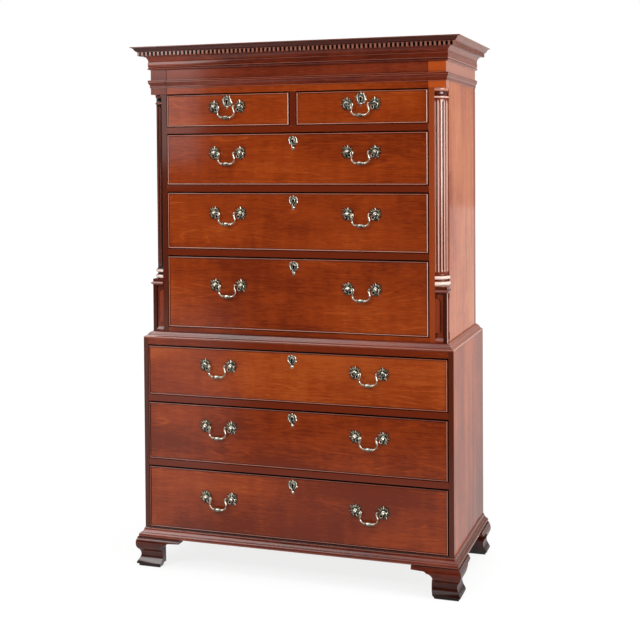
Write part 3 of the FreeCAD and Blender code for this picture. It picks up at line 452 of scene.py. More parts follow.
def cases():
    for node in ("lower_boards", "lower_backboards", "upper_boards", "upper_backboards"):
        copied(node + "_wood", node, PINE, uneven(9))
    for node, rails in (("lower_dividers", LOWER_RAILS), ("upper_dividers", UPPER_RAILS)):
        tones = [rails.get(board, tone) for board, tone in enumerate(uneven(40))]
        copied(node + "_wood", node, FRONT, tones)
    dark_edge, dark_back = -0.6, -0.4
    stations = [(LOWER_FRONT - 1 * MM, dark_edge, 0), (LOWER_FRONT + 2.5 * MM, dark_edge, 0),
                (LOWER_FRONT + 4 * MM, 0, 0)]
    for behind, tone in SEAMS:
        seam = LOWER_FRONT + behind
        stations += [(seam - 6 * MM, 0.1, 0), (seam, 0, -0.6), (seam + 6 * MM, tone, 0)]
    stations.append((CASE_BACK + 1 * MM, -0.02, 0))
    copied("lower_sides_wood", "lower_sides", CASE, LOWER_SIDES, stations)
    stations = [(CASE_BACK - 36 * MM, 0, 0), (CASE_BACK - 26 * MM, dark_back, 0),
                (CASE_BACK + 1 * MM, dark_back, 0)]
    copied("upper_sides_wood", "upper_sides", PALE_WITH_SHEEN, UPPER_SIDES, stations)
    for drawer in DRAWERS:
        copied(drawer + "_linings", drawer + "_box", OAK, uneven(6))


# ---- mouldings ----

ARRIS_WIDTH, ARRIS_WEAR_AND_LIGHT, ARRIS_ANGLE = 1.6 * MM, 0.9, 25


def edged(outline):
    """An outline and its wear_and_light: pale on an arris as wear and painted highlight, dark in a groove as
    painted shade, plain between them.
    """
    points, wear_and_light = [], []
    for before, here, after in zip(outline[-1:] + outline, outline, outline[1:] + outline[:1]):
        before, here, after = Vector(before), Vector(here), Vector(after)
        back, on = before - here, after - here
        turn = degrees(atan2(on.cross(back), -on.dot(back)))
        if abs(turn) < ARRIS_ANGLE or here.x <= 0:
            points.append(here)
            wear_and_light.append(0)
            continue
        points += [here + back * min(ARRIS_WIDTH / back.length, 0.4), here,
                   here + on * min(ARRIS_WIDTH / on.length, 0.4)]
        wear_and_light += [0, copysign(ARRIS_WEAR_AND_LIGHT, turn), 0]
    return points, wear_and_light


def run_of(timber, outline, start, end, outward, along, mitres=(0, 0), tone=0.0, rubbed_and_lit=0.0):
    """A length of moulding from start to end; a mitre of 1 leans that end out by the profile's reach."""
    outline, wear_and_light = edged(outline)
    start, end, outward = Vector(start), Vector(end), Vector(outward)
    forward = (end - start).normalized()
    rings = []
    for point, mitre in ((start, -mitres[0]), (end, mitres[1])):
        rings.append([point + outward * out + forward * (out * mitre) + Vector((0, 0, up))
                      for out, up in outline])
    timber.loft(rings, along, tone, wear_and_light=[amount + rubbed_and_lit for amount in wear_and_light])


def three_sided(timber, outline, half, front, bottom, rubbed_and_lit, tones=(0, 0, 0)):
    """Moulding across the front and along both sides; rubbed_and_lit, which adds wear and painted sheen, and
    tones are for front, left and right.
    """
    run_of(timber, outline, (-half, front, bottom), (half, front, bottom), (0, -1, 0), "x", (1, 1), tones[0],
           rubbed_and_lit[0])
    for side, tone, pale in zip((-1, 1), tones[1:], rubbed_and_lit[1:]):
        run_of(timber, outline, (side * half, front, bottom), (side * half, CASE_BACK, bottom), (side, 0, 0),
               "y", (1, 0), tone, pale)


def plain_moulding(node, corners, half, front, rubbed_and_lit, tones=(0, 0, 0), steps=8):
    """A moulding that stands for a node; its corners are shares of the node's reach and height."""
    low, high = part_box(node)
    timber = Timber()
    outline = profile(corners, high.x - half, high.z - low.z, steps)
    three_sided(timber, outline, half, front, low.z, rubbed_and_lit, tones)
    timber.build(node + "_wood", node, DARK, MOULDING_EDGE)


def base_and_waist():
    ogee = [(0, 0), (0.92, 0), (1, 0.1), (1, 0.27, 60), (0.76, 0.46), (0.62, 0.47), (0.62, 0.52, -60),
            (0.2, 0.88), (0.2, 0.93), (0.12, 0.95), (0.12, 1), (0, 1)]
    ovolo = [(0, 0), (1, 0), (1, 0.06, 120), (0.9, 0.3), (0.8, 0.33, -60), (0.56, 0.62), (0.5, 0.7),
             (0.44, 0.7, 60), (0.12, 1), (0, 1)]
    gap = 0.5 * MM
    # The right returns are painted paler, as sheen; the base's right return also has a darker tone under its
    # pale arrises.
    plain_moulding("base_moulding", ogee, LOWER_HALF, LOWER_FRONT, (0, 0, 0.35), (0, 0, -0.35))
    plain_moulding("waist_moulding", ovolo, UPPER_HALF + gap, UPPER_FRONT - gap, (0.15, 0.15, 0.6), steps=4)


def entablature():
    """The frieze between two corner blocks that stand out a little, and the architrave round its foot."""
    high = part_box("frieze")[1]
    foot, height = COLUMN_TOP + 22.5 * MM, 28 * MM
    block_proud, block_side, frieze_depth = 2 * MM, 0.3 * MM, 20 * MM
    block_front, facing = UPPER_FRONT - block_proud, UPPER_HALF + block_side
    timber = Timber()
    timber.board((-STILE_INNER, UPPER_FRONT, foot), (STILE_INNER, UPPER_FRONT + frieze_depth, high.z), 0.1)
    front_face = [(STILE_INNER, block_front), (facing - 1.5 * MM, block_front), (facing, block_front)]
    block = front_face + [(facing, COLUMN_BACK), (STILE_INNER, COLUMN_BACK)]
    faced = front_face + [(facing, CASE_BACK), (UPPER_HALF, CASE_BACK), (UPPER_HALF, COLUMN_BACK),
                          (STILE_INNER, COLUMN_BACK)]
    # The blocks' outer corners are painted pale, as wear and highlight.
    for side in (-1, 1):
        for outline, ends in ((block, (COLUMN_TOP, foot)), (faced, (foot, high.z))):
            timber.loft([[(side * x, y, z) for x, y in outline] for z in ends], "z", 0.35 + 0.35 * side,
                        wear_and_light=[0.95 * (x == facing) for x, y in outline])
    cyma = profile([(0, 0), (0.3, 0), (0.3, 0.2, -50), (0.62, 0.5, 50), (0.9, 0.76), (1, 0.76), (1, 1),
                    (0, 1)], high.x - UPPER_HALF - block_proud, height)
    run_of(timber, cyma, (-STILE_INNER, UPPER_FRONT, foot), (STILE_INNER, UPPER_FRONT, foot), (0, -1, 0), "x")
    # The architrave's returns are painted paler on the right side, as sheen.
    for side in (-1, 1):
        pale = 0.2 + 0.2 * side
        stile, corner, outer = side * STILE_INNER, side * facing, side * UPPER_HALF
        run_of(timber, cyma, (stile, block_front, foot), (corner, block_front, foot), (0, -1, 0), "x", (0, 1))
        run_of(timber, cyma, (corner, block_front, foot), (corner, COLUMN_BACK, foot), (side, 0, 0), "y",
               (1, 0), rubbed_and_lit=pale)
        run_of(timber, cyma, (outer, COLUMN_BACK, foot), (outer, CASE_BACK, foot), (side, 0, 0), "y",
               rubbed_and_lit=pale)
    timber.build("frieze_wood", "frieze", DARK, MOULDING_EDGE)


def cornice():
    """Bed moulding, pale-painted dentils before a strip painted dark as shade, and crown moulding, from
    below.
    """
    low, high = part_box("cornice")
    bed_height, dentil_height, crown_height = 49 * MM, 13 * MM, 18 * MM
    bed_reach, dentil_reach, reach = 19 * MM, 35 * MM, high.x - UPPER_HALF
    notch, notch_depth, pitch = 8.8 * MM, 8 * MM, 15.3 * MM
    dentil_low = low.z + bed_height
    crown_low = dentil_low + dentil_height
    timber = Timber()
    bed = profile([(0, 0), (0.4, 0.05, 150), (0.4, 0.15), (0.3, 0.19), (0.4, 0.23, 20), (0.4, 0.58),
                   (0.36, 0.6, -60), (1, 1), (0, 1)], bed_reach, bed_height)
    # The right returns of the bed and crown mouldings are painted paler, as sheen; the crown's front and left
    # are toned darker.
    three_sided(timber, bed, UPPER_HALF, UPPER_FRONT, low.z, (0, 0, 0.45))
    fillet = (dentil_reach + 2 * MM) / reach
    swell = 1 - fillet
    crown = profile([(0, 0), (fillet, 0), (fillet, 0.1, 55), (fillet + 0.4 * swell, 0.45, -55),
                     (fillet + 0.88 * swell, 0.82), (1, 0.82), (1, 1), (0, 1)], reach, crown_height)
    three_sided(timber, crown, UPPER_HALF, UPPER_FRONT, crown_low, (0, 0, 0.45), (-0.5, -0.5, 0))
    # The strip behind the dentils is painted dark, as the shade between them.
    strip = profile([(0, 0), (1, 0), (1, 1), (0, 1)], dentil_reach - notch_depth, dentil_height)
    three_sided(timber, strip, UPPER_HALF, UPPER_FRONT, dentil_low, (-0.8, -0.8, 0.2), (-1, -1, 0))

    def dentils(run):
        """The start and end of each dentil along a run."""
        count = round(run / pitch)
        step = (run - 2 * pitch + notch) / (count - 2)
        return [(0 if n == 0 else pitch + (n - 1) * step, run if n == count - 1 else pitch - notch + n * step)
                for n in range(count)]

    half, front = UPPER_HALF + dentil_reach, UPPER_FRONT - dentil_reach
    # The dentils' faces are painted pale, as a highlight.
    for start, end in dentils(2 * half):
        timber.board((start - half, front, dentil_low), (end - half, front + notch_depth, crown_low),
                     -0.3, "x", 0.6)
    for start, end in dentils(CASE_BACK - front)[1:]:
        for side in (-1, 1):
            timber.board((side * half, front + start, dentil_low),
                         (side * (half - notch_depth), front + end, crown_low), 0.0, "y", 0.5)
    timber.build("cornice_wood", "cornice", DARK, CORNICE_EDGE)


# ---- feet and columns ----

def feet():
    """The solids' own feet, darker towards the floor."""
    timber = Timber()
    timber.solids("bracket_feet", (-0.1,))
    for vert in timber.mesh.verts:
        vert[timber.wear_and_light] = -0.85 * (1 - vert.co.z / FOOT_TOP) - 0.05
    timber.build("bracket_feet_wood", "bracket_feet", DARK, BOARD_EDGE)


NECK, HOLLOW, RING = 34.4 * MM, 36.6 * MM, 38.6 * MM  # radii of the columns' turned ends


def column_rows(low, high):
    """Heights and radii of a turned column, from base to capital, and the half width of its flutes."""
    base, capital = 42 * MM, 36 * MM
    foot = profile([(RING, 0), (RING, 0.06, 160), (RING, 0.36), (HOLLOW, 0.4, -90), (HOLLOW, 0.52),
                    (RING, 0.56, 160), (RING, 0.8), (HOLLOW, 0.84), (HOLLOW, 0.92, -60), (SHAFT, 1), (0, 1)],
                   1, base)[:-1]
    head = profile([(SHAFT, 0), (HOLLOW, 0.06, 160), (HOLLOW, 0.26), (NECK, 0.34, 30), (NECK, 0.64, 70),
                    (RING, 0.9), (RING, 1), (0, 1)], 1, capital)[:-1]
    rows = [(low + up, radius, None) for radius, up in foot]
    start, end, flute = low + base + FLUTE_MARGIN, high - capital - FLUTE_MARGIN, FLUTE_RADIUS
    turns = [radians(angle) for angle in (90, 72, 54, 36, 18, 0)]
    rows += [(start + flute - flute * sin(turn), SHAFT, flute * cos(turn)) for turn in turns]
    rows += [(end - flute + flute * sin(turn), SHAFT, flute * cos(turn)) for turn in turns[::-1]]
    return rows + [(high - capital + up, radius, None) for radius, up in head]


def pedestal(timber, side, low, high):
    """A square block with a sunk panel on its front and side; the panel's ends reach to the stile."""

    def both_faces(rings, grains, tone):
        """Points are (off the corner, deep, z), once on the front and once round the corner on the side."""
        for grain, order in zip(grains, ((0, 1), (1, 0))):
            timber.loft([[(side * (UPPER_HALF - point[order[0]]), UPPER_FRONT + point[order[1]], point[2])
                          for point in ring] for ring in rings], grain, tone)

    corner, width, depth = 13 * MM, 12 * MM, 6 * MM
    bottom, top = WAIST_TOP + 9 * MM, high - 3 * MM
    end_height, hollow = 24 * MM, 9 * MM
    outer, sunk = UPPER_HALF, UPPER_HALF - depth
    # The corner post and the thin rail under the cap are painted dark as shade, darker on the right.
    plain, post_shade = (0.15, -0.8) if side > 0 else (0.04, -0.4)
    timber.board((side * COLUMN_INNER, UPPER_FRONT + depth, low), (side * sunk, COLUMN_BACK, high), plain,
                 "z")
    post = [(outer - 1.5 * MM, 0), (outer, 0), (outer, corner), (sunk, corner), (sunk, depth),
            (outer - corner, depth), (outer - corner, 0)]
    # The right post's corner is painted pale, as a highlight.
    pale = 0.5 + 0.5 * side
    timber.loft([[(side * x, UPPER_FRONT + y, z) for x, y in post] for z in (low, high)], "z", post_shade,
                wear_and_light=[0, pale, pale, 0, 0, 0, 0])
    inner = corner + width
    strip = [(inner, bottom + end_height), (NOTCH, bottom + end_height), (NOTCH, top - end_height + hollow)]
    strip += arc((NOTCH, top - end_height + hollow), (inner, top - end_height), 60)
    rail = [(corner, top), (NOTCH, top), (NOTCH, high), (corner, high)]
    for outline, tone in ((strip, plain * 2), (rail, post_shade)):
        both_faces([[(off, deep, z) for off, z in outline] for deep in (0, depth)], "zz", tone)
    sill = [(0, low), (0, bottom - 2 * MM), (depth, bottom + 7 * MM), (depth, low)]
    both_faces([[(off, deep, z) for deep, z in sill] for off in (corner, NOTCH)], "xy", plain)


def columns():
    """Each quarter column with its pedestal, the cap on it and a plinth."""
    low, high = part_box("quarter_columns")
    cap_low = low.z + 187 * MM
    plinth_low, column_low = cap_low + 10.5 * MM, cap_low + 20.5 * MM
    cap = profile([(0, 0), (0.2, 0, -70), (0.8, 0.36), (1, 0.36), (1, 0.55, 40), (0.25, 1), (0, 1)],
                  high.x - UPPER_HALF, plinth_low - cap_low)
    steps = FLUTES * 12

    def across(step):
        """Where a step lies in its flute, from -0.5 to 0.5."""
        return (step * FLUTES / steps) % 1 - 0.5

    def tarnish_wear_and_light(step, radius, flute):
        """Pale on the ridges and rings, dark at the bottom of the flutes and hollows: wear, with painted
        highlights and painted shade.
        """
        if flute is None:
            return 1.75 * (radius - NECK) / (RING - NECK) - 0.8
        return 1.3 - 2.6 * (1 - abs(across(step)) * 2) ** 2

    timber = Timber()
    for side in (-1, 1):
        pedestal(timber, side, low.z, cap_low)
        rings, wear_and_light = [], []
        # The left column is painted darker, as shade.
        shade_by_place = 0.45 - 0.45 * side
        for level, radius, flute in column_rows(column_low, high.z):
            ring = [(side * COLUMN_INNER, COLUMN_BACK, level)]
            for step in range(steps + 1):
                turn = radians(90 * step / steps)
                off = SHAFT * radians(90 / FLUTES) * across(step)
                depth = sqrt(max(flute ** 2 - off ** 2, 0)) if flute else 0
                ring.append((side * (COLUMN_INNER + (radius - depth) * cos(turn)),
                             COLUMN_BACK - (radius - depth) * sin(turn), level))
            rings.append(ring)
            wear_and_light.append([0] + [tarnish_wear_and_light(step, radius, flute) - shade_by_place for step in range(steps + 1)])
        timber.loft(rings, "z", -0.04, wear_and_light=wear_and_light)
        inner, outer = side * COLUMN_INNER, side * UPPER_HALF
        timber.board((inner, UPPER_FRONT, cap_low), (outer, COLUMN_BACK, column_low), -0.02, "x")
        corner = (outer, UPPER_FRONT, cap_low)
        # The cap is painted a little paler as a highlight, more on its side faces.
        run_of(timber, cap, (inner, UPPER_FRONT, cap_low), corner, (0, -1, 0), "x", (0, 1),
               rubbed_and_lit=0.12 - 0.08 * side)
        run_of(timber, cap, corner, (outer, COLUMN_BACK, cap_low), (side, 0, 0), "y", (1, 0), rubbed_and_lit=0.35)
    timber.build("quarter_columns_wood", "quarter_columns", DARK, FINE_EDGE, 32)


# ---- drawers ----

FRONT_TONES = {"short_left_drawer": 0.05, "upper_top_drawer": -0.04, "upper_bottom_drawer": -0.05,
               "lower_middle_drawer": -0.04, "lower_bottom_drawer": -0.02}
BEAD_SIDES = (("x", 0.05), ("z", -0.35), ("x", 0.45), ("z", 0.15))  # grain and painted shade of each bead, painted paler below 0: bottom, right, top, left


def key_edge(angle):
    """How far the keyhole's edge is from its middle, in one direction."""
    across, up = cos(angle), sin(angle)
    for distance in (step * 0.1 * MM for step in range(1, 200)):
        x, z = distance * across, KEY_MIDDLE + distance * up
        in_slot = abs(x) < KEY_SLOT_HALF and -KEY_SLOT_LENGTH < z < 0
        if not in_slot and hypot(x, z) > KEY_RADIUS:
            return distance


def front_board(timber, low, high, tone):
    """A drawer front with a step for its beads and a keyhole right through."""
    face, ledge = low.y + BEAD_PROUD, low.y + BEAD_PROUD + BEAD_DEPTH
    key_x, key_z = (low.x + high.x) / 2, high.z - KEY_DROP + KEY_MIDDLE
    border = BEAD_WIDTH + QUIRK
    left, right = low.x + border - key_x, high.x - border - key_x
    bottom, top = low.z + border - key_z, high.z - border - key_z
    corners = [atan2(z, x) % tau for x in (left, right) for z in (bottom, top)]
    angles = sorted(corners + [tau * (step + 0.5) / 24 for step in range(24)])
    inner, outer, key = [], [], []
    for angle in angles:
        across, up = cos(angle), sin(angle)
        reach_x = (right if across > 0 else left) / across
        reach_z = (top if up > 0 else bottom) / up
        reach = min(reach_x, reach_z)
        x, z = key_x + reach * across, key_z + reach * up
        inner.append((x, z))
        over_x = copysign(border, across) if reach_x < reach_z * ALMOST else 0
        over_z = copysign(border, up) if reach_z < reach_x * ALMOST else 0
        outer.append((x + over_x, z + over_z))
        edge = key_edge(angle)
        key.append((key_x + edge * across, key_z + edge * up))
    rings = [[(x, y, z) for x, z in ring] for y, ring in
             ((face, key), (face, inner), (ledge, inner), (ledge, outer), (high.y, outer), (high.y, key))]
    timber.loft(rings, "x", tone + luck.uniform(-0.04, 0.04), round_trip=True)


def drawer_fronts():
    for drawer in DRAWERS:
        low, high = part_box(drawer + "_front")
        # The gaps are wider at the right and the top.
        low, high = low + Vector((SLACK, 0, SLACK)), high - Vector((2 * SLACK, 0, 3 * SLACK))
        timber = Timber()
        front_board(timber, low, high, FRONT_TONES.get(drawer, 0.0))
        ledge, round_from = low.y + BEAD_PROUD + BEAD_DEPTH, low.y + BEAD_WIDTH / 2
        nose = profile([(0, ledge), (0, round_from, 180), (BEAD_WIDTH, round_from), (BEAD_WIDTH, ledge)])
        # The crest of each bead is painted pale, as wear and highlight, and its flanks dark, as painted
        # shade.
        rubbed_and_lit = [1.15 - 2.3 * (abs(across / BEAD_WIDTH - 0.5) * 2) ** 2 for across, y in nose]
        corners = [(low.x, low.z), (high.x, low.z), (high.x, high.z), (low.x, high.z)]
        inwards = [(1, 1), (-1, 1), (-1, -1), (1, -1)]
        for index, (along, shade_by_place) in enumerate(BEAD_SIDES):
            rings = []
            for end in (index, (index + 1) % 4):
                (x, z), (dx, dz) = corners[end], inwards[end]
                rings.append([(x + dx * across, y, z + dz * across) for across, y in nose])
            # Beads of the lower drawers are painted darker, as shade.
            shade_by_place += 0.4 * drawer.startswith("lower")
            timber.loft(rings, along, -0.03, wear_and_light=[amount - shade_by_place for amount in rubbed_and_lit])
        timber.build(drawer + "_front_wood", drawer + "_front", FRONT, FINE_EDGE)


# ---- brasses ----

def smooth_rows(rows, steps):
    """A smooth curve through rows of numbers."""
    first = [2 * a - b for a, b in zip(rows[0], rows[1])]
    last = [2 * a - b for a, b in zip(rows[-1], rows[-2])]
    rows = [first, *rows, last]
    smooth = []
    for p0, p1, p2, p3 in zip(rows, rows[1:], rows[2:], rows[3:]):
        for step in range(steps):
            t = step / steps
            smooth.append([0.5 * (2 * b + (c - a) * t + (2 * a - 5 * b + 4 * c - d) * t ** 2
                                  + (3 * b - a - 3 * c + d) * t ** 3) for a, b, c, d in zip(p0, p1, p2, p3)])
    return smooth + [rows[-2]]


def from_face(place, x, out, z):
    """A point so many millimetres right of, in front of and above place."""
    return Vector(place) + MM * Vector((x, -out, z))


def rod(form, rows, place, sides=8, ribs=0.0, wear_and_light=None):
    """A cast rod through rows of (x, z, radius, out), in millimetres from place; ribs swell thick parts."""
    rings = []
    for index, (x, z, radius, out) in enumerate(rows):
        before, after = rows[max(index - 1, 0)], rows[min(index + 1, len(rows) - 1)]
        heading = atan2(after[1] - before[1], after[0] - before[0])
        ring = []
        for side in range(sides):
            angle = tau * side / sides
            swell = radius * (1 + (ribs * max(radius - 3, 0) if side % 2 else 0))
            across, forward = swell * cos(angle), swell * sin(angle)
            ring.append(from_face(place, x - across * sin(heading), out + forward,
                                  z + across * cos(heading)))
        rings.append(ring)
    form.loft(rings, "x", wear_and_light=wear_and_light)


def turned(form, rows, place, sides=20, stain_and_shade=0.0):
    """A turned shape through rows of (radius, out) in millimetres, facing the front."""
    turns = [tau * side / sides for side in range(sides)]
    form.loft([[from_face(place, radius * cos(turn), out, radius * sin(turn)) for turn in turns]
               for radius, out in rows], "y", wear_and_light=[stain_and_shade] * sides)


def ball(radius, centre, start, steps):
    """Rows of a ball for turned(), from start degrees above its middle to near its top."""
    turns = [radians(start + (80 - start) * step / steps) for step in range(steps + 1)]
    return [(radius * cos(turn), centre + radius * sin(turn)) for turn in turns]


def leaf(form, place, side, angle, tip, width):
    """A ridged leaf that lies on the drawer front and points away from place; sizes are in millimetres."""
    root, height = 9, 6.5
    turn = radians(angle)
    along = Vector((side * cos(turn), 0, sin(turn)))
    across = Vector((-side * sin(turn), 0, cos(turn)))
    section = ((-1, 0), (-1, 0.4), (-0.55, 0.5), (0, 1), (0.55, 0.5), (1, 0.4), (1, 0))
    rings = []
    for t, wide, high in ((0, 0.75, 1), (0.25, 1, 0.95), (0.5, 0.9, 0.8), (0.75, 0.5, 0.85), (0.92, 0.26, 1),
                          (1, 0.07, 0.75)):
        middle = Vector(place) + along * (root + (tip - root) * t) * MM
        rings.append([from_face(middle + across * (x * width * wide * MM), 0, up * height * high, 0)
                      for x, up in section])
    form.loft(rings, "x")


# Rows of a rosette are (scale, out, groove, stain_and_shade), and leaves are (degrees, tip, width); the dark
# outer row is patina with painted shade at the plate's foot.
LOBES = 11
ROSETTE_ROWS = ((1, 0, 0, -1), (1, 1.6, 0, -0.3), (0.86, 4, 1, 0.2), (0.72, 2.6, 2.2, -0.5),
                (0.56, 2.4, 2.4, -0.9), (0.42, 4.8, 0.6, 0), (0.2, 5.8, 0, 0), (0.05, 6, 0, 0))
LEAVES = ((172, 19, 2.6), (147, 23.5, 3.1), (120, 21.5, 2.8), (94, 24, 3.2), (66, 21.5, 2.8), (42, 24.5, 3.2),
          (18, 20, 2.6), (-8, 22, 2.8), (-34, 21, 2.6), (-60, 24, 2.8), (-86, 24, 2.6))


def rosette(form, place, side):
    """A cast plate edged with leaves, with a boss, an eye whose hole is a dark boss painted as shade, and a
    curl; side is away from the bail.
    """
    rings, wear_and_light = [], []
    for scale, out, groove, stain_and_shade in ROSETTE_ROWS:
        ring, row = [], []
        for step in range(LOBES * 6):
            angle = tau * step / (LOBES * 6)
            ridge = abs((step / 6 + 0.5) % 1 - 0.5) * 2
            spread = scale * (1.06 - 0.2 * ridge * min(scale * 1.2, 1))
            ring.append(from_face(place, side * (0.5 + 15.5 * spread * cos(angle)),
                                  out - groove * ridge, -2 + 19.5 * spread * sin(angle)))
            row.append(stain_and_shade - (0.35 * ridge if scale > 0.5 else 0))
        rings.append(ring)
        wear_and_light.append(row)
    form.loft(rings, "y", wear_and_light=wear_and_light)
    for angle, tip, width in LEAVES:
        leaf(form, place, side, angle, tip, width)
    eye_x, eye_z = -8, -12
    # The eye's hole is a dark boss: painted shade.
    turned(form, ball(5.2, 0, 0, 5), from_face(place, side * eye_x, 0, eye_z), 12, -1.0)
    eye = [(eye_x + 5.4 * cos(turn), eye_z + 5.8 * sin(turn), 1.6, 5)
           for turn in (radians(step * 36) for step in range(11))]
    curl = smooth_rows([(3, 4, 1.5, 6.4), (9, 0, 2, 6.4), (9.6, -8, 2.2, 6), (4.5, -14, 2.2, 5.8)], 4)
    for rows in (eye, curl):
        rod(form, [(side * x, z, radius, out) for x, z, radius, out in rows], place)


# Half outlines as (degrees, millimetres) from the middle of the keyhole, from the top round to the foot.
ESCUTCHEONS = {
    "long": ((90, 21), (74, 15.5), (60, 19.5), (44, 15.5), (26, 19), (10, 15), (-8, 17.5), (-26, 14),
             (-42, 15.5), (-58, 12.5), (-68, 14), (-74, 21), (-81, 26), (-90, 27.5)),
    "short": ((90, 30), (77, 19), (64, 27), (48, 17.5), (26, 23.5), (10, 17), (-8, 21), (-26, 16), (-42, 19),
              (-60, 16), (-76, 18), (-84, 22), (-90, 25)),
}
DROPS = {"long": -24, "short": -19}  # millimetres from the keyhole to the boss at the plate's foot
# Rows of a plate are (scale, growth, out, stain_and_shade): scaled outlines, then with scale 0 the keyhole's,
# grown; the dark rows at its foot and at the keyhole are patina with painted shade.
PLATE_ROWS = ((1, 0, 0, -1), (1, 0, 0.9, 0), (0.88, 0, 2.6, 0), (0.7, 0, 1.5, -0.8), (0, 3.4, 1.7, -0.5),
              (0, 2, 3, 0.3), (0, 0.6, 2.6, -0.9), (0, 0, 0, -1))


def escutcheon(form, place, kind):
    """A pierced cast plate round a keyhole; place is the middle of the keyhole's round part."""
    half = [(radians(angle), reach * MM) for angle, reach in ESCUTCHEONS[kind]]
    edge = half + [(pi - angle, reach) for angle, reach in half[-2:0:-1]]
    rings, wear_and_light = [], []
    for scale, growth, out, stain_and_shade in PLATE_ROWS:
        ring = []
        for angle, reach in edge:
            radius = reach * scale if scale else key_edge(angle) + growth * MM
            ring.append(place + Vector((radius * cos(angle), -out * MM,
                                        KEY_MIDDLE + radius * sin(angle))))
        rings.append(ring)
        wear_and_light.append([stain_and_shade] * len(ring))
    form.loft(rings, "x", round_trip=True, wear_and_light=wear_and_light)
    for side in (-1, 1):
        curl = [(side * 7, 13, 1.2, 2), (side * 12, 9, 1.9, 2.6), (side * 13.4, 1, 2.1, 2.8),
                (side * 10.5, -9, 1.8, 2.6), (side * 5.5, -14, 1.2, 2)]
        rod(form, smooth_rows(curl, 4), place)
    turned(form, ball(4.6, 1.4, -10, 6), from_face(place, 0, 0, DROPS[kind]), 14)
    turned(form, ball(2.6, 1.6, -10, 5), from_face(place, 0, 0, 14.5), 12)


def bail_rows():
    """Half a bail from the middle of its grip over two rings to its post, and the other half mirrored."""
    half = smooth_rows([(0, -39.5, 6.2), (5, -39.4, 5.6), (9.4, -39.2, 4), (11.4, -39.1, 2.8)], 3)
    half += smooth_rows([(12.2, -39, 4.4), (13.8, -39, 4.9), (15.4, -38.8, 4.4), (16.4, -38.7, 2.9)], 3)
    half += smooth_rows([(19, -37.8, 2.6), (24, -34.8, 2.6), (28.6, -29.8, 2.6), (30.6, -24, 2.7),
                         (29.6, -17, 2.7), (27.6, -11, 2.7), (26.4, -6, 2.8), (27, -1.8, 2.9), (30, 0.8, 2.8),
                         (34.5, 1.2, 2.6), (39, 0.2, 2.4), (43, 0, 2.3), (51, 0, 2.3)], 4)
    return [(-x, z, radius, 0) for x, z, radius in half[:0:-1]] + [(*row, 0) for row in half]


BAIL_TOP = 2.6 * MM  # the bail's box reaches this far above its axis
BAIL_SIDES = 14
SHOULDER, THICK = 30.5, 4  # millimetres from the middle, and of radius
POSTS_AND_NUTS, LOCK_CASES = (10 * MM, 13 * MM), (40 * MM, 48 * MM)  # solids that are kept, by height


def bail_stain(x, radius, side):
    """Dark on the shoulders, and in the hollows between the ribs of the thick parts."""
    if abs(x) > SHOULDER:
        return -0.75
    return -0.14 - (0.22 + 0.35 * (side % 2)) * (radius > THICK)


def brasses():
    for drawer in DRAWERS:
        low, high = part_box(drawer + "_front")
        face = low.y + BEAD_PROUD
        form = Timber()
        for bail in [node for node in NODES if node.startswith(drawer + "_bail")]:
            bail_low, bail_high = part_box(bail)
            centre, axis = (bail_low.x + bail_high.x) / 2, bail_high.z - BAIL_TOP
            for side in (-1, 1):
                place = Vector((centre + side * POST_HALF, face, axis))
                rosette(form, place, side)
                turned(form, [(7.4, 4), (7.4, 5.8), (5.4, 7), (4.4, 8.4)], place, stain_and_shade=-0.3)
            swing = Timber()
            rows = bail_rows()
            wear_and_light = [[bail_stain(x, radius, side) for side in range(BAIL_SIDES)] for x, z, radius, out in rows]
            rod(swing, rows, (centre, face - POST_REACH, axis), BAIL_SIDES, 0.05, wear_and_light)
            swing.build(bail + "_cast", bail, BRASS, 0)
        kind = "short" if drawer.startswith("short") else "long"
        escutcheon(form, Vector(((low.x + high.x) / 2, face, high.z - KEY_DROP)), kind)
        for heights in (POSTS_AND_NUTS, LOCK_CASES):
            form.solids(drawer + "_brasses", heights=heights)
        form.build(drawer + "_brasses_cast", drawer + "_brasses", BRASS, 0, 50)


# ---- studio ----

WHITE = (1, 1, 1, 1)
FLOOR_REACH, FLOOR_WHITE = 30, 1.06
FLOOR_BEHIND, FLOOR_LEFT, FLOOR_CLOSE, FLOOR_LEAST = 0.55, 0.62, 0.42, 0.05  # as polish mirrors it
WALL, SIDE, CEILING, DARKEST = 0.3, 0.42, 1.5, 0.03  # the world by direction
MIRRORED_SIDE, MIRRORED_CEILING = 11.0, 6.0  # as polish mirrors them


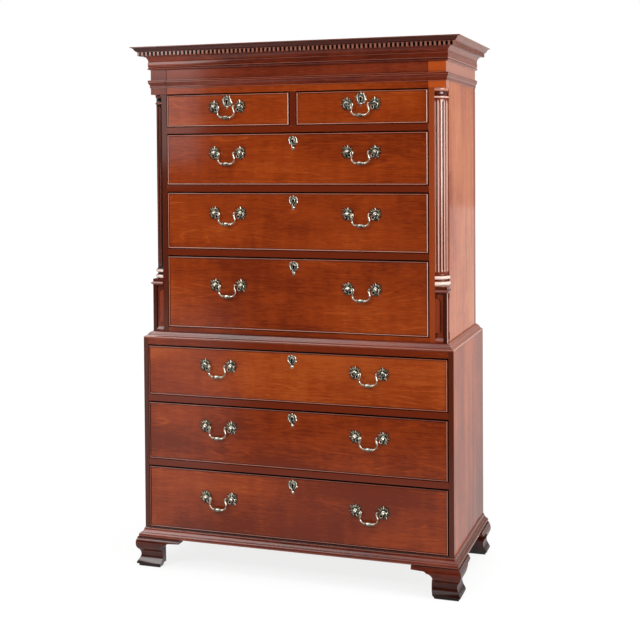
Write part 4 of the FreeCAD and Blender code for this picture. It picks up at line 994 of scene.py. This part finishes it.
def white_floor():
    """A floor that holds the chest's shadow and turns white farther out.

    What polish mirrors of it is bright behind the chest, close before it and at the left."""
    corners = [(x * FLOOR_REACH, y * FLOOR_REACH, 0) for x, y in ((-1, -1), (1, -1), (1, 1), (-1, 1))]
    mesh = bpy.data.meshes.new("floor")
    mesh.from_pydata(corners, [], [(0, 1, 2, 3)])
    floor = added("floor", mesh)
    g = Graph("pale_floor")
    g.set(Base_Color=(0.8, 0.8, 0.8, 1), Roughness=0.9)
    place = g.node("TexCoord", output=3)
    x, y = g.split(place)[:2]
    seen, mirrored = g.node("LightPath", output=0), g.node("LightPath", output=3)
    distance = g.node("VectorMath", output=1, settings={"operation": "LENGTH"}, _0=place)
    far = g.node("MapRange", Value=distance,
                 **{"From Min": 1.0, "From Max": 2.4, "To Min": 0.78, "To Max": 1.0})
    glow = g.node("Emission", Color=WHITE, Strength=FLOOR_WHITE)
    mixed = g.node("MixShader", _0=g.times(seen, far), _1=g.shader.outputs[0], _2=glow)
    front = g.ramp(y, 0.1, -0.4)
    left = g.times(g.ramp(g.times(y, -0.43, x), 0.15, -0.35), g.ramp(y, -8.5, -5.0))
    close = g.times(g.ramp(y, -2.8, -1.0), FLOOR_CLOSE)
    before = g.highest(g.times(left, FLOOR_LEFT, FLOOR_LEAST), close)
    level = g.times(g.math("SUBTRACT", 1.0, front), FLOOR_BEHIND, g.times(front, before))
    shine = g.node("Emission", Color=WHITE, Strength=level)
    mixed = g.node("MixShader", _0=mirrored, _1=mixed, _2=shine)
    g.tree.links.new(mixed, g.tree.nodes["Material Output"].inputs["Surface"])
    mesh.materials.append(g.material)


def studio():
    """A world bright behind the chest, to its right and above, white to the camera.

    Polish mirrors a strip at the right and the ceiling at the left brighter than they light."""
    world = bpy.data.worlds.new("studio")
    bpy.context.scene.world = world
    world.use_nodes = True
    g = Graph(tree=world.node_tree)
    x, y, z = g.split(g.node("TexCoord"))
    seen, mirrored = g.node("LightPath", output=0), g.node("LightPath", output=3)
    wall = g.times(g.ramp(y, -0.1, 0.3), WALL)
    strip = g.times(g.times(g.ramp(x, 0.6, 0.85), g.ramp(y, -0.05, -0.18)), mirrored)
    side = g.highest(g.times(g.ramp(x, 0.3, 0.75), SIDE), g.times(strip, MIRRORED_SIDE))
    above = g.times(g.times(mirrored, g.ramp(x, -0.15, -0.45)), MIRRORED_CEILING - CEILING, CEILING)
    level = g.highest(wall, side, g.times(g.ramp(z, 0.45, 0.85), above), DARKEST, seen)
    g.feed(g.tree.nodes["Background"].inputs["Strength"], level)
    g.feed(g.tree.nodes["Background"].inputs["Color"], WHITE)


def lamp(name, place, aim, size, power, glossy):
    """An oblong lamp of (width, height) that points at aim; polish mirrors it if glossy."""
    data = bpy.data.lights.new(name, "AREA")
    data.shape = "RECTANGLE"
    data.size, data.size_y = size
    data.energy = power
    light = added(name, data)
    light.location = place
    light.rotation_euler = (Vector(aim) - Vector(place)).to_track_quat("-Z", "Y").to_euler()
    light.visible_glossy = glossy


def lamps():
    lamp("front_key", (-0.9, -3.2, 2.8), (0, 0, 1.1), (0.8, 0.8), 50, False)
    lamp("right_box", (2.9, -0.35, 1.8), (0.5, -0.1, 1.45), (1.5, 1.5), 58, False)
    lamp("left_box", (-2.5, -3.7, 2.25), (-0.3, -0.2, 1.4), (1.1, 1.7), 8.5, True)
    lamp("left_high", (-2.5, -3.7, 2.8), (-0.3, -0.2, 1.6), (1.2, 1.4), 19, True)


def camera():
    """The photograph's viewpoint: to the right of the front, as high as the upper drawers, shifted down."""
    place, yaw, pitch, roll = (1.3438, -3.9766, 1.4361), 0.3206, -0.0265, -0.0066
    data = bpy.data.cameras.new("camera")
    data.lens = 66.14
    data.sensor_width = 36
    data.shift_y = -0.2036
    view = added("camera", data)
    view.matrix_world = (Matrix.Translation(place) @ Matrix.Rotation(yaw, 4, "Z")
                         @ Matrix.Rotation(pi / 2 + pitch, 4, "X") @ Matrix.Rotation(roll, 4, "Z"))
    bpy.context.scene.camera = view


for dress in (cases, base_and_waist, entablature, cornice, feet, columns, drawer_fronts, brasses):
    dress()
for node in NODES.values():
    if not node.hide_render:  # only the lock bolts are still the frame's own
        for slot in node.material_slots:
            slot.link = "OBJECT"
            slot.material = IRON
white_floor()
studio()
lamps()
camera()
bpy.context.scene.view_settings.view_transform = "Standard"
